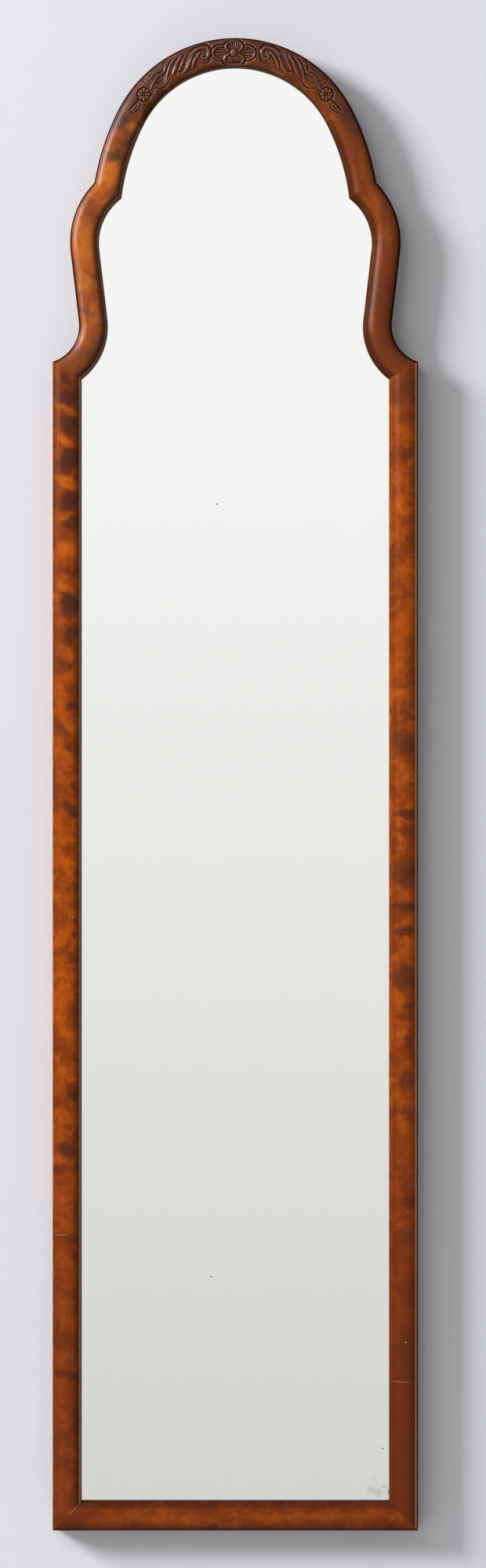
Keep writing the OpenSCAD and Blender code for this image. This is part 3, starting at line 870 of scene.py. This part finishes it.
@dataclass(frozen=True)
class Section:
    """The moulding's section in millimetres, as inset from the outer edge and height above the wall."""

    width: float = 24.0
    depth: float = 20.0
    crest: float = 10.5
    face_r: float = 34.0
    outer_round: float = 3.5
    inner_round: float = 5.0
    rebate: float = 7.0
    lip: float = 8.0
    bend: float = 11.25

    @property
    def wall(self) -> float:
        """Returns the inset of the rebate's wall."""
        return self.width - self.rebate

    @property
    def seat(self) -> float:
        """Returns the height of the rebate's seat."""
        return self.depth - self.lip

    @property
    def back(self) -> list[Point]:
        """Returns the corners behind the face, from the sight edge round to the outer edge."""
        return [(self.width, self.seat), (self.wall, self.seat), (self.wall, 0.0), (0.0, 0.0)]

    def height(self, inset: np.ndarray) -> np.ndarray:
        """Works out the height of the crowned face and of the rounding on either side of it.

        Args:
            inset: Insets from the outer edge.

        Returns:
            Heights above the wall.
        """
        low = self.depth - self.face_r
        height = low + np.sqrt(self.face_r**2 - (inset - self.crest) ** 2)
        sides = ((self.outer_round, self.outer_round), (self.width - self.inner_round, self.inner_round))
        for middle, radius in sides:
            out, apart = middle - self.crest, self.face_r - radius
            rise = np.sqrt(np.clip(radius**2 - (inset - middle) ** 2, 0, None))
            beyond = (inset - self.crest - out * self.face_r / apart) * out > 0
            height = np.where(beyond, low + math.sqrt(apart**2 - out**2) + rise, height)
        return height

    def insets(self, pitch: float) -> np.ndarray:
        """Spaces points across the face, closer together on its two roundings.

        Args:
            pitch: The usual distance between them.

        Returns:
            Their insets from the outer edge.
        """
        outer = self.outer_round * (1 - np.cos(np.radians(np.arange(0, 90, self.bend))))
        inner = self.width - self.inner_round * (1 - np.cos(np.radians(np.arange(0, 79, self.bend))))[::-1]
        middle = np.arange(outer[-1] + pitch, inner[0] - pitch / 2, pitch)
        return np.concatenate([outer, middle, inner])


@dataclass(frozen=True)
class Stroke:
    """One pass of the carver: a smooth line through set points, all in millimetres."""

    points: tuple[Point, ...]
    width: float
    depth: float
    steps: int = 6

    def line(self) -> np.ndarray:
        """Draws the smooth line through the points.

        Returns:
            Its points, evenly stepped between each two of the given ones.
        """
        given = np.array(self.points, float)
        ends = np.vstack([2 * given[0] - given[1], given, 2 * given[-1] - given[-2]])
        run = [given[0]]
        for a, b, c, d in zip(ends, ends[1:], ends[2:], ends[3:]):
            for i in range(1, self.steps + 1):
                t = i / self.steps
                bend = (2 * a - 5 * b + 4 * c - d) * t**2 + (3 * b - a - 3 * c + d) * t**3
                run.append(0.5 * (2 * b + (c - a) * t + bend))
        return np.array(run)

    def nearness(self, x: np.ndarray, drop: np.ndarray) -> np.ndarray:
        """Measures how near points lie to the line.

        Args:
            x: Distances from the middle.
            drop: Drops from the top.

        Returns:
            1 on the line, falling evenly to 0 at half the stroke's width, which tapers at the ends.
        """
        line = self.line()
        near = np.zeros_like(x)
        reach = self.width / 2
        low, high = line.min(0) - reach, line.max(0) + reach
        inside = (x > low[0]) & (x < high[0]) & (drop > low[1]) & (drop < high[1])
        px, py = x[inside], drop[inside]
        best = np.zeros_like(px)
        count = len(line) - 1
        for i in range(count):
            start, span = line[i], line[i + 1] - line[i]
            t = np.clip(((px - start[0]) * span[0] + (py - start[1]) * span[1]) / (span @ span + 1e-12), 0, 1)
            away = np.hypot(px - start[0] - t * span[0], py - start[1] - t * span[1])
            taper = 0.5 + 0.5 * np.sqrt(np.sin(np.pi * np.clip((i + t) / count, 0.02, 0.98)))
            best = np.maximum(best, 1 - away / (reach * taper))
        near[inside] = best
        return near


@dataclass(frozen=True)
class Petal:
    """A dished petal of the middle flower, placed from the flower's own centre, in millimetres."""

    x: float
    down: float
    half_wide: float
    half_tall: float
    flutes: int


@dataclass(frozen=True)
class Carving:
    """The relief of the crown: a flower, and on each side a scroll with leaves, a tendril and a daisy.

    Strokes are given for the left side and mirrored: beds are sunk, forms stand in them and cuts part
    the forms. Depths are below the moulding's plain face, before boldness deepens all of them.
    """

    boldness: float = 1.25
    flower: Point = (-1.4, 12.6)
    boss_r: float = 3.1
    boss_ring: float = 1.5
    dome: float = 1.15
    petal_ring: float = 1.05
    dish: float = 0.55
    flute: float = 0.24
    petals: tuple[Petal, ...] = (
        Petal(-10.6, 0.3, 7.7, 6.5, 30),
        Petal(10.8, 0.3, 7.8, 6.3, 30),
        Petal(0.2, -4.9, 8.0, 5.4, 26),
        Petal(0.2, 5.7, 9.2, 5.6, 26),
    )
    daisy: Point = (-76.4, 47.7)
    daisy_r: float = 5.3
    daisy_cup: float = 0.75
    daisy_ring: float = 0.85
    form_round: float = 0.45
    beds: tuple[Stroke, ...] = (
        Stroke(((-21.5, 14), (-30, 14.5), (-38, 20), (-46, 25)), 21, 0.55),
        Stroke(((-42, 20), (-50, 24.5), (-57, 28)), 17, 0.5),
        Stroke(((-56, 28), (-62, 35), (-70, 42)), 11, 0.5),
        Stroke(((-70, 43), (-79, 51)), 13, 0.4),
        Stroke(((-79, 52), (-84, 58), (-87.5, 61.8)), 6, 0.4),
        Stroke(((-77, 35.4), (-72.6, 38.2), (-68, 39.4)), 6, 0.35),
    )
    forms: tuple[Stroke, ...] = (
        Stroke(((-37.4, 15), (-33.6, 10.9), (-28.6, 8.5), (-24.4, 8.9), (-22.4, 12.2), (-23.4, 16.6),
                (-26.4, 17.8), (-28.2, 15.6), (-26.2, 14.6)), 3, 0.02),
        Stroke(((-30.2, 11.6), (-34.4, 14.4), (-37.4, 19), (-39.8, 24.8), (-42.6, 28.8), (-45.4, 30.4),
                (-47.6, 29.6)), 3, 0),
        Stroke(((-29.4, 13), (-32.2, 15.8), (-34.6, 20.4), (-35.9, 25.4)), 3, 0),
        Stroke(((-41.2, 13.2), (-43.4, 18.5), (-45.6, 24), (-47.4, 28.4)), 2.4, 0.05),
        Stroke(((-45.8, 16.6), (-48.9, 21.4), (-50.5, 26.8), (-52.4, 31.2)), 3.4, 0.02),
        Stroke(((-50.6, 21.8), (-53, 26.7), (-54.6, 32.6)), 1.7, 0.05),
        Stroke(((-50.4, 16.6), (-54, 22), (-56, 27.4), (-57.2, 33.4)), 2.6, 0.02),
        Stroke(((-55, 18.6), (-57.8, 23.6), (-59.8, 28.6)), 2.4, 0.05),
        Stroke(((-57.9, 21.2), (-59.2, 23.8)), 2.2, 0),
        Stroke(((-56.8, 30), (-57.9, 35.8), (-60.6, 39.2), (-64, 40.8), (-67.6, 40.2)), 2, 0.02),
        Stroke(((-59.6, 28.8), (-65, 32.8), (-68.2, 37.4), (-70.4, 41.8), (-73, 45.4)), 2.2, 0),
        Stroke(((-75.4, 36), (-72.6, 38.2), (-69.6, 38.8)), 2.2, 0.05),
        Stroke(((-78.4, 51.6), (-80.8, 55.4), (-83.6, 57.4), (-85.6, 60), (-88.9, 62.8)), 2.1, 0),
        Stroke(((-80.6, 54.6), (-81.6, 58.6), (-84.6, 61.6)), 1.6, 0.05),
    )
    cuts: tuple[Stroke, ...] = (
        Stroke(((-38.4, 12), (-33.2, 7.8), (-28.2, 5.9), (-23.2, 6.5), (-20.2, 10.2), (-20.4, 15.4),
                (-22.4, 20.4), (-26.4, 21.4)), 2.6, 1),
        Stroke(((-36.6, 20.9), (-35.6, 17), (-32.6, 13.2), (-29.2, 11), (-25.4, 11.2), (-24.8, 14)),
                1.7, 0.8),
        Stroke(((-37.6, 24.6), (-36.3, 19.4), (-33.2, 14.9)), 1.5, 0.8),
        Stroke(((-34.4, 26), (-32.8, 20.8), (-30.6, 16.4), (-29, 14.6)), 1.9, 0.9),
        Stroke(((-39, 14.4), (-41.2, 20), (-42.8, 25.2), (-45.6, 28.8), (-48.4, 28.2)), 1.8, 0.9),
        Stroke(((-42.6, 14.4), (-45.4, 20), (-47.2, 24.8), (-49.2, 29.6)), 1.6, 0.9),
        Stroke(((-47.8, 16), (-50.6, 20.4), (-52.4, 24.4), (-53.8, 29), (-55.6, 33)), 1.6, 0.9),
        Stroke(((-52.4, 16.8), (-55.4, 21.4), (-57.2, 26), (-58.8, 32)), 1.6, 0.9),
        Stroke(((-55.4, 16.4), (-59.8, 21), (-61.4, 27.4)), 1.7, 0.7),
        Stroke(((-59.4, 30.6), (-60.6, 34.6), (-64.2, 38), (-66.4, 37.8)), 2.4, 0.8),
        Stroke(((-54.6, 33.6), (-56.4, 38.4), (-60.4, 42), (-66, 42.8)), 1.6, 0.7),
        Stroke(((-61.8, 28.4), (-67.2, 31.4), (-70.8, 36.6), (-72.8, 41.2)), 1.5, 0.6),
        Stroke(((-67.6, 42), (-70, 45), (-73, 48.6)), 1.5, 0.8),
        Stroke(((-80.4, 52.6), (-83.4, 55.4), (-86.2, 58), (-88.8, 61.2)), 1.4, 0.8),
        Stroke(((-79.4, 55.6), (-80.2, 59.2), (-83.4, 62), (-87, 64.2)), 1.4, 0.9),
    )

    def flower_relief(self, depth: np.ndarray, x: np.ndarray, drop: np.ndarray) -> np.ndarray:
        """Cuts the middle flower: fluted petals with their rims and rings, and the boss.

        Args:
            depth: The relief so far.
            x: Distances from the middle.
            drop: Drops from the top.

        Returns:
            The relief with the flower in it.
        """
        u, v = x - self.flower[0], drop - self.flower[1]
        turn, out = np.arctan2(v, u), np.hypot(u, v)
        for petal in self.petals:
            shape = np.hypot((u - petal.x) / petal.half_wide, (v - petal.down) / petal.half_tall)
            away = (shape - 1) * min(petal.half_wide, petal.half_tall)
            inside = smooth(0.5 - away / 0.5)
            rim = np.exp(-(((away + 0.75) / 0.45) ** 2))
            fluted = smooth((out - 3.4) / 1.2) * smooth(-(away + 1.2) / 0.8)
            body = self.dish * (1 + np.clip(1 - shape**2, 0, 1))
            body = body + self.flute * np.cos(petal.flutes * turn) * fluted
            body = body * (1 - rim) + 0.02 * rim
            depth = depth * (1 - inside) + body * inside
            ring = self.petal_ring * np.exp(-(((away - 0.45) / 0.5) ** 2))
            depth = np.maximum(depth, ring * (away > -0.3))
        depth = np.maximum(depth, self.boss_ring * np.exp(-(((out - 3.8) / 0.6) ** 2)))
        dome = self.dome * (1 - np.sqrt(np.clip(1 - (out / self.boss_r) ** 2, 0, 1)))
        return np.where(out < self.boss_r, dome, depth)

    def daisy_relief(self, depth: np.ndarray, x: np.ndarray, drop: np.ndarray) -> np.ndarray:
        """Cuts the eight-petalled daisy on the left side.

        Args:
            depth: The relief so far.
            x: Distances from the middle.
            drop: Drops from the top.

        Returns:
            The relief with the daisy in it.
        """
        u, v = x - self.daisy[0], drop - self.daisy[1]
        out, turn = np.hypot(u, v) / self.daisy_r, np.arctan2(v, u)
        edge = 1 - 0.10 * (1 - np.abs(np.cos(4 * turn)))
        inside = smooth((edge - out) / 0.1)
        between = self.daisy_cup * np.abs(np.sin(4 * turn)) ** 6 * smooth(out / 0.3)
        cup = self.daisy_cup * smooth((0.42 - out) / 0.25) * (1 - smooth((0.16 - out) / 0.06))
        depth = depth * (1 - inside) + (between + cup + 0.05) * inside
        return np.maximum(depth, self.daisy_ring * np.exp(-(((out - edge - 0.09) / 0.13) ** 2)))

    def relief(self, x: np.ndarray, drop: np.ndarray) -> np.ndarray:
        """Works out how deep the carving lies below the plain face.

        Args:
            x: Distances from the middle, in millimetres.
            drop: Drops from the top, in millimetres.

        Returns:
            Depths in millimetres.
        """
        left = -np.abs(x)
        depth = np.zeros_like(x)
        for bed in self.beds:
            depth = np.maximum(depth, bed.depth * smooth(bed.nearness(left, drop) * 2.6))
        for form in self.forms:
            near = form.nearness(left, drop)
            share = smooth(near * 2.2)
            depth = depth * (1 - share) + (form.depth + self.form_round * (1 - near) ** 2) * share
        for cut in self.cuts:
            depth = np.maximum(depth, cut.depth * smooth(cut.nearness(left, drop) * 1.15))
        depth = self.daisy_relief(depth, left, drop)
        return self.flower_relief(depth, x, drop) * self.boldness


def new_piece(name: str, points: Iterable[Iterable[float]], faces: list[list[int]]) -> bpy.types.Object:
    """Makes a mesh object and links it to the scene.

    Args:
        name: Its name.
        points: Its points in metres.
        faces: Its faces, as places in the list of points.

    Returns:
        The object.
    """
    mesh = bpy.data.meshes.new(name)
    mesh.from_pydata(points, [], faces)
    mesh.update()
    piece = bpy.data.objects.new(name, mesh)
    bpy.context.scene.collection.objects.link(piece)
    return piece


def loft(name: str, loops: np.ndarray, smooth_faces: int = 0, turned: bool = False) -> bpy.types.Object:
    """Makes a solid from closed loops that follow each other, with a flat face at both ends.

    Args:
        name: Its name.
        loops: Its points in metres, by loop, place on the loop and axis.
        smooth_faces: How many faces of each step are shaded smooth, from the start of the loop.
        turned: Whether the loops run the other way round.

    Returns:
        The solid.
    """
    steps, count = loops.shape[0] - 1, loops.shape[1]
    row = np.arange(steps)[:, None] * count
    here = np.arange(count)[None]
    after = (here + 1) % count
    quads = np.stack([row + here, row + after, row + count + after, row + count + here], -1).reshape(-1, 4)
    faces = quads.tolist() + [list(range(count))[::-1], list(range(steps * count, (steps + 1) * count))]
    if turned:
        faces = [face[:1] + face[:0:-1] for face in faces]
    piece = new_piece(name, loops.reshape(-1, 3).tolist(), faces)
    shading = np.zeros(len(faces), bool)
    shading[:-2] = np.tile(np.arange(count) < smooth_faces, steps)
    piece.data.polygons.foreach_set("use_smooth", shading)
    return piece


def dress(piece: bpy.types.Object, finish: bpy.types.Material) -> None:
    """Puts one finish on the whole of a piece.

    Args:
        piece: The piece.
        finish: Its material.
    """
    if not piece.material_slots:
        piece.data.materials.append(finish)
    for place in piece.material_slots:
        place.material = finish


def dress_nodes(finishes: dict[str, bpy.types.Material]) -> list[str]:
    """Puts finishes on CAD nodes, which keep their shapes.

    Args:
        finishes: Each node's finish.

    Returns:
        The nodes' names.
    """
    for name, finish in finishes.items():
        dress(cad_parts[name], finish)
    return list(finishes)


@dataclass
class CarvedCrown:
    """The crown: the moulding bent to the arch, with the carving cut into its face."""

    outline: Outline
    section: Section
    carving: Carving = Carving()
    finish: StainedBirch = StainedBirch(
        "carved_birch_varnish", Grain.LEVEL, Run.ARCH, CREST_FIGURE, outer_painted_shade=0.2, inner_painted_shade=0.8,
        contour_shade=0.9, inner_arris_sheen=0.4, gloss=0.42, carved=True,
    )
    pitch: float = 0.25
    joint_fade: float = 2.0
    spread: int = 17
    name: str = "carved_crown"

    def around(self, depth: np.ndarray) -> np.ndarray:
        """Averages the relief round each point, so that cuts and ridges can be told apart.

        Args:
            depth: The relief's depths, along the arch and across it.

        Returns:
            The averages.
        """
        weights = np.hanning(self.spread + 2)[1:-1]
        weights /= weights.sum()
        for axis in (0, 1):
            depth = np.apply_along_axis(np.convolve, axis, depth, weights, "same")
        return depth

    def build(self) -> bpy.types.Object:
        """Builds the crown's mesh in place of the plain CAD one.

        Returns:
            The carved crown.
        """
        rim = self.outline.arch_r
        span = math.radians(180 - 2 * self.outline.joint)
        steps = round(span * (rim - self.section.crest) / self.pitch)
        turn = math.radians(self.outline.joint) + span * np.arange(steps + 1) / steps
        insets = self.section.insets(self.pitch)
        along, inset = np.meshgrid(turn, insets, indexing="ij")
        x = (rim - inset) * np.cos(along)
        up = APEX - rim + (rim - inset) * np.sin(along)
        keep = smooth((inset - 1.6) / 1.4) * smooth((self.section.width - 1.4 - inset) / 1.6)
        keep *= smooth((rim - inset) * np.minimum(along - along.min(), along.max() - along) / self.joint_fade)
        depth = self.carving.relief(x, APEX - up) * keep
        loops = [np.stack([x, depth - self.section.height(inset), up], -1)]
        for place, level in self.section.back:
            back_x = (rim - place) * np.cos(turn)
            back_up = APEX - rim + (rim - place) * np.sin(turn)
            loops.append(np.stack([back_x, np.full_like(turn, -level), back_up], -1)[:, None])
        grid = np.concatenate(loops, 1)
        piece = loft(self.name, grid * MM, len(insets) - 1)
        lift = np.zeros(grid.shape[:2], np.float32)
        lift[:, : len(insets)] = self.around(depth) - depth
        piece.data.attributes.new("lift", "FLOAT", "POINT").data.foreach_set("value", lift.ravel())
        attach(piece, ROOT)
        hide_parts("crown")
        dress(piece, self.finish.build(self.outline))
        return piece


@dataclass
class Crest:
    """The two shoulders: haunch, notch, lobe, neck and flare in one, with the moulding run round them."""

    outline: Outline
    section: Section
    left: StainedBirch = StainedBirch(
        "left_crest_birch", Grain.UPRIGHT, Run.CREST, CREST_FIGURE, outer_painted_shade=0.15, inner_painted_shade=0.8,
        contour_shade=0.95, inner_arris_sheen=0.4,
    )
    right: StainedBirch = StainedBirch(
        "right_crest_birch", Grain.UPRIGHT, Run.CREST, CREST_FIGURE, mottle=0.15, toning=0.76,
        outer_painted_shade=0.5, inner_painted_shade=0.7, contour_shade=0.9, gloss=0.17,
    )
    pitch: float = 0.6
    counts: tuple[int, int, int] = (44, 64, 48)

    def shoulder(self, node: str, side: int, finish: StainedBirch) -> bpy.types.Object:
        """Builds one shoulder in place of its CAD node, which has the same shape in flats.

        Args:
            node: The node.
            side: 1 on the right, -1 on the left.
            finish: Its finish.

        Returns:
            The shoulder.
        """
        insets = self.section.insets(self.pitch)
        ring = list(zip(insets.tolist(), self.section.height(insets).tolist())) + self.section.back
        runs = [
            [(side * x, -level, up) for x, up in self.outline.crest(inset, self.counts)]
            for inset, level in ring
        ]
        loops = np.array(runs).transpose(1, 0, 2) * MM
        piece = loft(f"swept_{node}", loops, len(insets) - 1, turned=side > 0)
        notch = range(self.counts[0] * len(ring), (self.counts[0] + 1) * len(ring))
        for edge in piece.data.edges:
            edge.use_edge_sharp = edge.vertices[0] in notch and edge.vertices[1] in notch
        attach(piece, ROOT)
        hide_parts(node)
        dress(piece, finish.build(self.outline))
        return piece

    def build(self) -> list[bpy.types.Object]:
        """Builds both shoulders and returns them."""
        return [self.shoulder("left_shoulder", -1, self.left), self.shoulder("right_shoulder", 1, self.right)]


@dataclass
class PlainFrame:
    """The straight pieces of the frame, which keep their CAD shapes: stiles and bottom rail."""

    outline: Outline
    left: StainedBirch = StainedBirch(
        "left_stile_birch", Grain.UPRIGHT, Run.STILE, LEFT_STILE_FIGURE, reddening=0.6, mottle=0.2,
        outer_painted_shade=0.4, inner_painted_shade=0.5, inner_arris_sheen=0.8, gloss=0.15, open_mitre=True, tones=STRAIGHT_TONES,
    )
    right: StainedBirch = StainedBirch(
        "right_stile_birch", Grain.UPRIGHT, Run.STILE, RIGHT_STILE_FIGURE, reddening=0.9, mottle=0.2,
        toning=0.2, outer_painted_shade=0.55, glass_shade=0.0, outer_arris_sheen=0.8, gloss=0.12, tones=STRAIGHT_TONES,
    )
    rail: StainedBirch = StainedBirch(
        "bottom_rail_birch", Grain.LEVEL, Run.RAIL, RAIL_FIGURE, reddening=0.55, toning=0.08,
        outer_painted_shade=0.5, inner_painted_shade=0.6, contour_shade=0.6, glass_shade=0.3, gloss=0.12, tones=STRAIGHT_TONES,
    )

    def dress_all(self) -> list[str]:
        """Gives each piece its own board's figure and returns the nodes' names."""
        finishes = {"left_stile": self.left, "right_stile": self.right, "bottom_rail": self.rail}
        return dress_nodes({name: finish.build(self.outline) for name, finish in finishes.items()})


@dataclass
class Joinery:
    """The hidden tongues and the corner keys, whose ends show on the sides and the bottom."""

    nodes: tuple[str, ...] = (
        "left_crown_tongue", "right_crown_tongue", "left_shoulder_tongue", "right_shoulder_tongue",
        "left_corner_key", "right_corner_key",
    )
    birch: RawWood = RawWood("raw_birch_wood", screen(206, 174, 132), screen(188, 150, 106), Grain.LEVEL, 3.0)

    def dress_all(self) -> list[str]:
        """Dresses the pieces in raw birch and returns their names."""
        return dress_nodes(dict.fromkeys(self.nodes, self.birch.build()))


@dataclass
class Back:
    """What the wall side shows: board, slips, brads, hanger plates and their screws."""

    pine: RawWood = RawWood(
        "backing_pine_board", screen(198, 164, 116), screen(158, 112, 66), Grain.UPRIGHT, 9.0,
        knots=((-60.0, 520.0), (48.0, 905.0), (20.0, 210.0)),
    )
    steel: AgedMetal = AgedMetal("brad_steel_wire", (0.42, 0.41, 0.40, 1.0), screen(92, 66, 50), 0.34)
    brass: AgedMetal = AgedMetal("aged_brass", (0.72, 0.52, 0.24, 1.0), screen(104, 78, 40), 0.26)

    def dress_all(self) -> list[str]:
        """Dresses the pieces.

        Returns:
            Their names.
        """
        pine, brass = self.pine.build(), self.brass.build()
        return dress_nodes({
            "backing_board": pine, "packing_slips": pine, "backing_brads": self.steel.build(),
            "left_hanger": brass, "right_hanger": brass, "hanger_screws": brass,
        })


@dataclass
class MirrorPlate:
    """The glass plate with its arris, and the silvering behind it, in millimetres."""

    outline: Outline
    section: Section
    gap: float = 2.0
    thickness: float = 3.8
    silver_gap: float = 0.05
    arris: float = 0.5
    name: str = "mirror_plate"

    def build(self) -> bpy.types.Object:
        """Builds the plate in place of its CAD node, a hair clear of the silvering, and dresses both.

        Returns:
            The glass plate.
        """
        inset = self.section.wall + self.gap
        front = self.section.seat
        back = front - self.thickness + self.silver_gap
        edges = [(inset + self.arris, front), (inset, front - self.arris)]
        edges += [(inset, back + self.arris), (inset + self.arris, back)]
        loops = [[(x, -level, up) for x, up in self.outline.whole(place)] for place, level in edges]
        piece = loft(self.name, np.array(loops) * MM)
        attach(piece, ROOT)
        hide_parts("mirror_glass")
        dress(piece, PlateGlass().build())
        dress_nodes({"silvering": Silver().build()})
        return piece


@dataclass(frozen=True)
class Lamp:
    """A soft lamp: its place, its width and height, all in metres, and its power in watts."""

    name: str
    place: tuple[float, float, float]
    size: tuple[float, float]
    power: float

    def build(self, aim: Vector) -> None:
        """Hangs the lamp so that it faces a point.

        Args:
            aim: The point.
        """
        data = bpy.data.lights.new(self.name, "AREA")
        data.shape = "RECTANGLE"
        data.size, data.size_y = self.size
        data.energy = self.power
        lamp = bpy.data.objects.new(self.name, data)
        lamp.location = self.place
        lamp.rotation_euler = (aim - Vector(self.place)).to_track_quat("-Z", "Y").to_euler()
        bpy.context.scene.collection.objects.link(lamp)


@dataclass
class Studio:
    """Camera, lamps, sky and the pale wall and floor, in metres."""

    outline: Outline
    picture_height: float = 1.3132
    distance: float = 4.0
    face_plane: float = 0.016
    centre: Point = (0.0064, -0.2948)
    sensor: float = 36.0
    wall_gap: float = 0.0005
    wall_half: float = 2.4
    wall_top: float = 1.7
    wall_lap: float = 0.8
    floor_z: float = -1.5
    floor_deep: float = 1.6
    aim: tuple[float, float, float] = (0.0, 0.0, -0.3)
    lamps: tuple[Lamp, ...] = (
        Lamp("window", (-1.9, -2.6, 2.1), (3.0, 1.6), 34.0),
        Lamp("side_window", (-6.2, -2.4, 2.9), (1.6, 2.2), 850.0),
        Lamp("back_fill", (1.2, 2.6, 0.8), (1.6, 1.6), 70.0),
    )
    fill: Colour = (0.275, 0.262, 0.255, 1.0)
    far_low: Colour = (0.678, 0.665, 0.66, 1.0)
    far_high: Colour = (0.97, 0.95, 0.963, 1.0)
    far_dim: Colour = (0.1, 0.1, 0.1, 1.0)
    softbox: Colour = (34.0, 34.0, 34.6, 1.0)

    def camera(self) -> None:
        """Places the camera square to the wall, so that the photograph's frame fits its picture."""
        data = bpy.data.cameras.new("camera")
        data.sensor_width = self.sensor
        data.lens = self.sensor * self.distance / self.picture_height
        data.clip_end = 60.0
        camera = bpy.data.objects.new("camera", data)
        camera.location = (self.centre[0], -self.face_plane - self.distance, self.centre[1])
        camera.rotation_euler = (math.pi / 2, 0.0, 0.0)
        bpy.context.scene.collection.objects.link(camera)
        bpy.context.scene.camera = camera

    def sky(self) -> None:
        """Makes the room: soft fill light, a pale far wall for the mirror, and a softbox in the varnish."""
        world = bpy.data.worlds.new("room")
        bpy.context.scene.world = world
        shader = Shader(world)
        across, toward, up = shader.parts(shader.node("ShaderNodeTexCoord").outputs["Generated"])
        path = shader.node("ShaderNodeLightPath")
        camera, glossy, through = (
            Value(shader, path.outputs[name])
            for name in ("Is Camera Ray", "Is Glossy Ray", "Is Transmission Ray")
        )
        far_wall = shader.mix(up.ease(-0.2, 0.13), self.far_low, self.far_high)
        far_wall = shader.mix(shader.reach(across, up).ease(0.17, 0.55) * 0.4, far_wall, self.far_dim)
        colour = shader.mix(camera | glossy | through, self.fill, far_wall)
        patch = abs(across + 0.39).ease(0.09, 0.04) * abs(up - 0.20).ease(0.14, 0.07) * toward.ease(0.0, -0.4)
        colour = shader.mix(patch * glossy, colour, self.softbox)
        light = shader.node("ShaderNodeBackground", {}, {"Color": colour, "Strength": 1.0})
        shader.node("ShaderNodeOutputWorld", {}, {"Surface": light.outputs[0]})

    def wall(self) -> bpy.types.Object:
        """Builds the wall, open behind the mirror so that its back can be lit and seen.

        Returns:
            The wall.
        """
        hole = [(x * MM, up * MM) for x, up in self.outline.half(self.wall_lap)]
        right = [(0.0, self.wall_top), (self.wall_half, self.wall_top), (self.wall_half, self.floor_z),
                 (0.0, self.floor_z), (0.0, hole[-1][1])] + hole[::-1]
        left = [(-x, up) for x, up in right][::-1]
        count = len(right)
        faces = [list(range(count))[::-1], list(range(count, 2 * count))[::-1]]
        wall = new_piece("wall", [(x, self.wall_gap, up) for x, up in right + left], faces)
        shader = material("painted_wall")
        grain = shader.noise(shader.place(), 0.8, 3.0)
        colour = shader.mix(grain * 0.25, screen(223, 226, 232), screen(213, 216, 223))
        paint = shader.node("ShaderNodeBsdfDiffuse", {}, {"Color": colour})
        clear = shader.node("ShaderNodeBsdfTransparent")
        back = shader.node("ShaderNodeNewGeometry").outputs["Backfacing"]
        both = shader.node("ShaderNodeMixShader", {}, {0: back, 1: paint.outputs[0], 2: clear.outputs[0]})
        shader.node("ShaderNodeOutputMaterial", {}, {"Surface": both.outputs[0]})
        dress(wall, shader.owner)
        return wall

    def floor(self) -> bpy.types.Object:
        """Builds the floor in front of the wall.

        Returns:
            The floor.
        """
        half, near, far = self.wall_half, self.wall_gap - self.floor_deep, self.wall_gap
        corners = [(-half, near), (half, near), (half, far), (-half, far)]
        floor = new_piece("floor", [(x, y, self.floor_z) for x, y in corners], [[0, 1, 2, 3]])
        shader = material("pale_floor")
        grain = shader.noise(shader.place(), 0.02, 3.0)
        colour = shader.mix(grain, screen(186, 184, 182), screen(196, 194, 192))
        dress(floor, shader.surface(Base_Color=colour, Roughness=0.7))
        return floor

    def build(self) -> None:
        """Sets up the whole studio."""
        bpy.context.scene.view_settings.view_transform = "Standard"
        self.camera()
        self.sky()
        for lamp in self.lamps:
            lamp.build(Vector(self.aim))
        self.wall()
        self.floor()


def main() -> None:
    """Builds and dresses the mirror, piece by piece, and sets up the studio."""
    logging.basicConfig(level=logging.INFO, format="%(name)s: %(message)s")
    outline, section = Outline(), Section()
    pieces = [CarvedCrown(outline, section).build(), *Crest(outline, section).build()]
    for group in (PlainFrame(outline), Joinery(), Back()):
        log.info("%s: %s", type(group).__name__, ", ".join(group.dress_all()))
    pieces.append(MirrorPlate(outline, section).build())
    for piece in pieces:
        log.info("%s: %d faces", piece.name, len(piece.data.polygons))
    Studio(outline).build()


if __name__ == "__main__":
    main()
